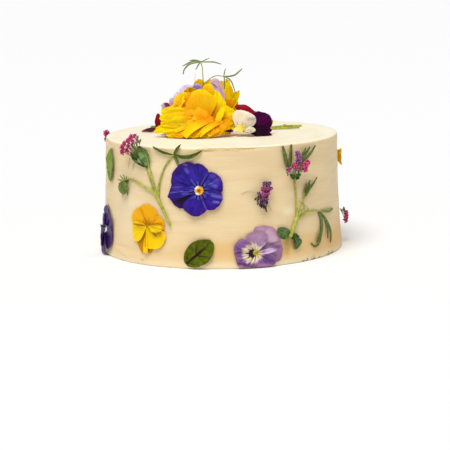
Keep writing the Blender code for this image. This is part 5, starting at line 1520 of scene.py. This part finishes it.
def make_top_greens():
    for name, (base, tip, half_width, lift, finish) in TOP_LEAVES.items():
        piece = Piece(name + "_blade")
        leaf(piece, lying, base, tip, half_width, lift=lift * 0.5, cup=lift, seed=4)
        piece.build(GREEN_FINISHES[finish], "leaf_green", name)
    for name, (points, radii, knot) in TOP_STEMS.items():
        piece = Piece(name + "_stalk")
        tube(piece, lying, points, radii, shade=0.4, sides=12)
        if knot:
            bead(piece, lying, (*knot, 1.5), (1.9, 1.6, 1.5), 0.2)
        piece.build(GREEN_FINISHES["stem"], "stem_green", name)
    for name, (depth, stems, needles) in TOP_SPRIGS.items():
        wrap = standing(depth)
        piece = Piece(name + "_stems")
        for points, radii in stems:
            tube(piece, wrap, points, radii, sides=8, shade=0.45)
        piece.build(GREEN_FINISHES["stem"], "herb_green", name)
        piece = Piece(name + "_needles")
        for points, half_width in needles:
            needle(piece, wrap, points, half_width * 0.78, shade=0.5, blunt=0.3)
        piece.build(GREEN_FINISHES["fine"], "herb_green", name)


def make_camera():
    place, right, up, forward = camera_axes()
    camera = bpy.data.objects.new("camera", bpy.data.cameras.new("camera"))
    camera.data.sensor_width = SENSOR
    camera.data.lens = SENSOR * FOCAL / FRAME_SIZE
    camera.data.clip_end = FARTHEST_SEEN
    turned = Matrix((right, up, -forward)).transposed().to_4x4()
    turned.translation = place * MM
    camera.matrix_world = turned
    bpy.context.scene.collection.objects.link(camera)
    bpy.context.scene.camera = camera


def make_studio():
    """A pale floor and soft light from above, a little from the left."""
    scene = bpy.context.scene
    world = bpy.data.worlds.new("studio")
    world.use_nodes = True
    world.node_tree.nodes["Background"].inputs["Color"].default_value = (1, 1, 1, 1)
    world.node_tree.nodes["Background"].inputs["Strength"].default_value = WORLD_LIGHT
    scene.world = world
    sun = bpy.data.lights.new("key", "SUN")
    sun.energy = KEY_LIGHT
    sun.angle = math.radians(KEY_SPREAD)
    key = bpy.data.objects.new("key", sun)
    key.rotation_euler = [math.radians(turn) for turn in KEY_TURNS]
    scene.collection.objects.link(key)
    mesh = bpy.data.meshes.new("floor")
    corners = ((-1, -1), (1, -1), (1, 1), (-1, 1))
    mesh.from_pydata([(x * FLOOR_HALF, y * FLOOR_HALF, 0) for x, y in corners], [], [(0, 1, 2, 3)])
    floor = bpy.data.objects.new("floor", mesh)
    paint = Finish("floor_paint", 0.7)
    paint.colour = (*[FLOOR_GREY] * 3, 1)
    mesh.materials.append(paint.done())
    scene.collection.objects.link(floor)
    scene.view_settings.view_transform = "Standard"


make_camera()
make_studio()
make_icing()
make_side_flowers()
make_side_leaves()
make_blossoms()
make_sprigs()
make_blooms()
make_top_petals()
make_top_flowers()
make_top_greens()
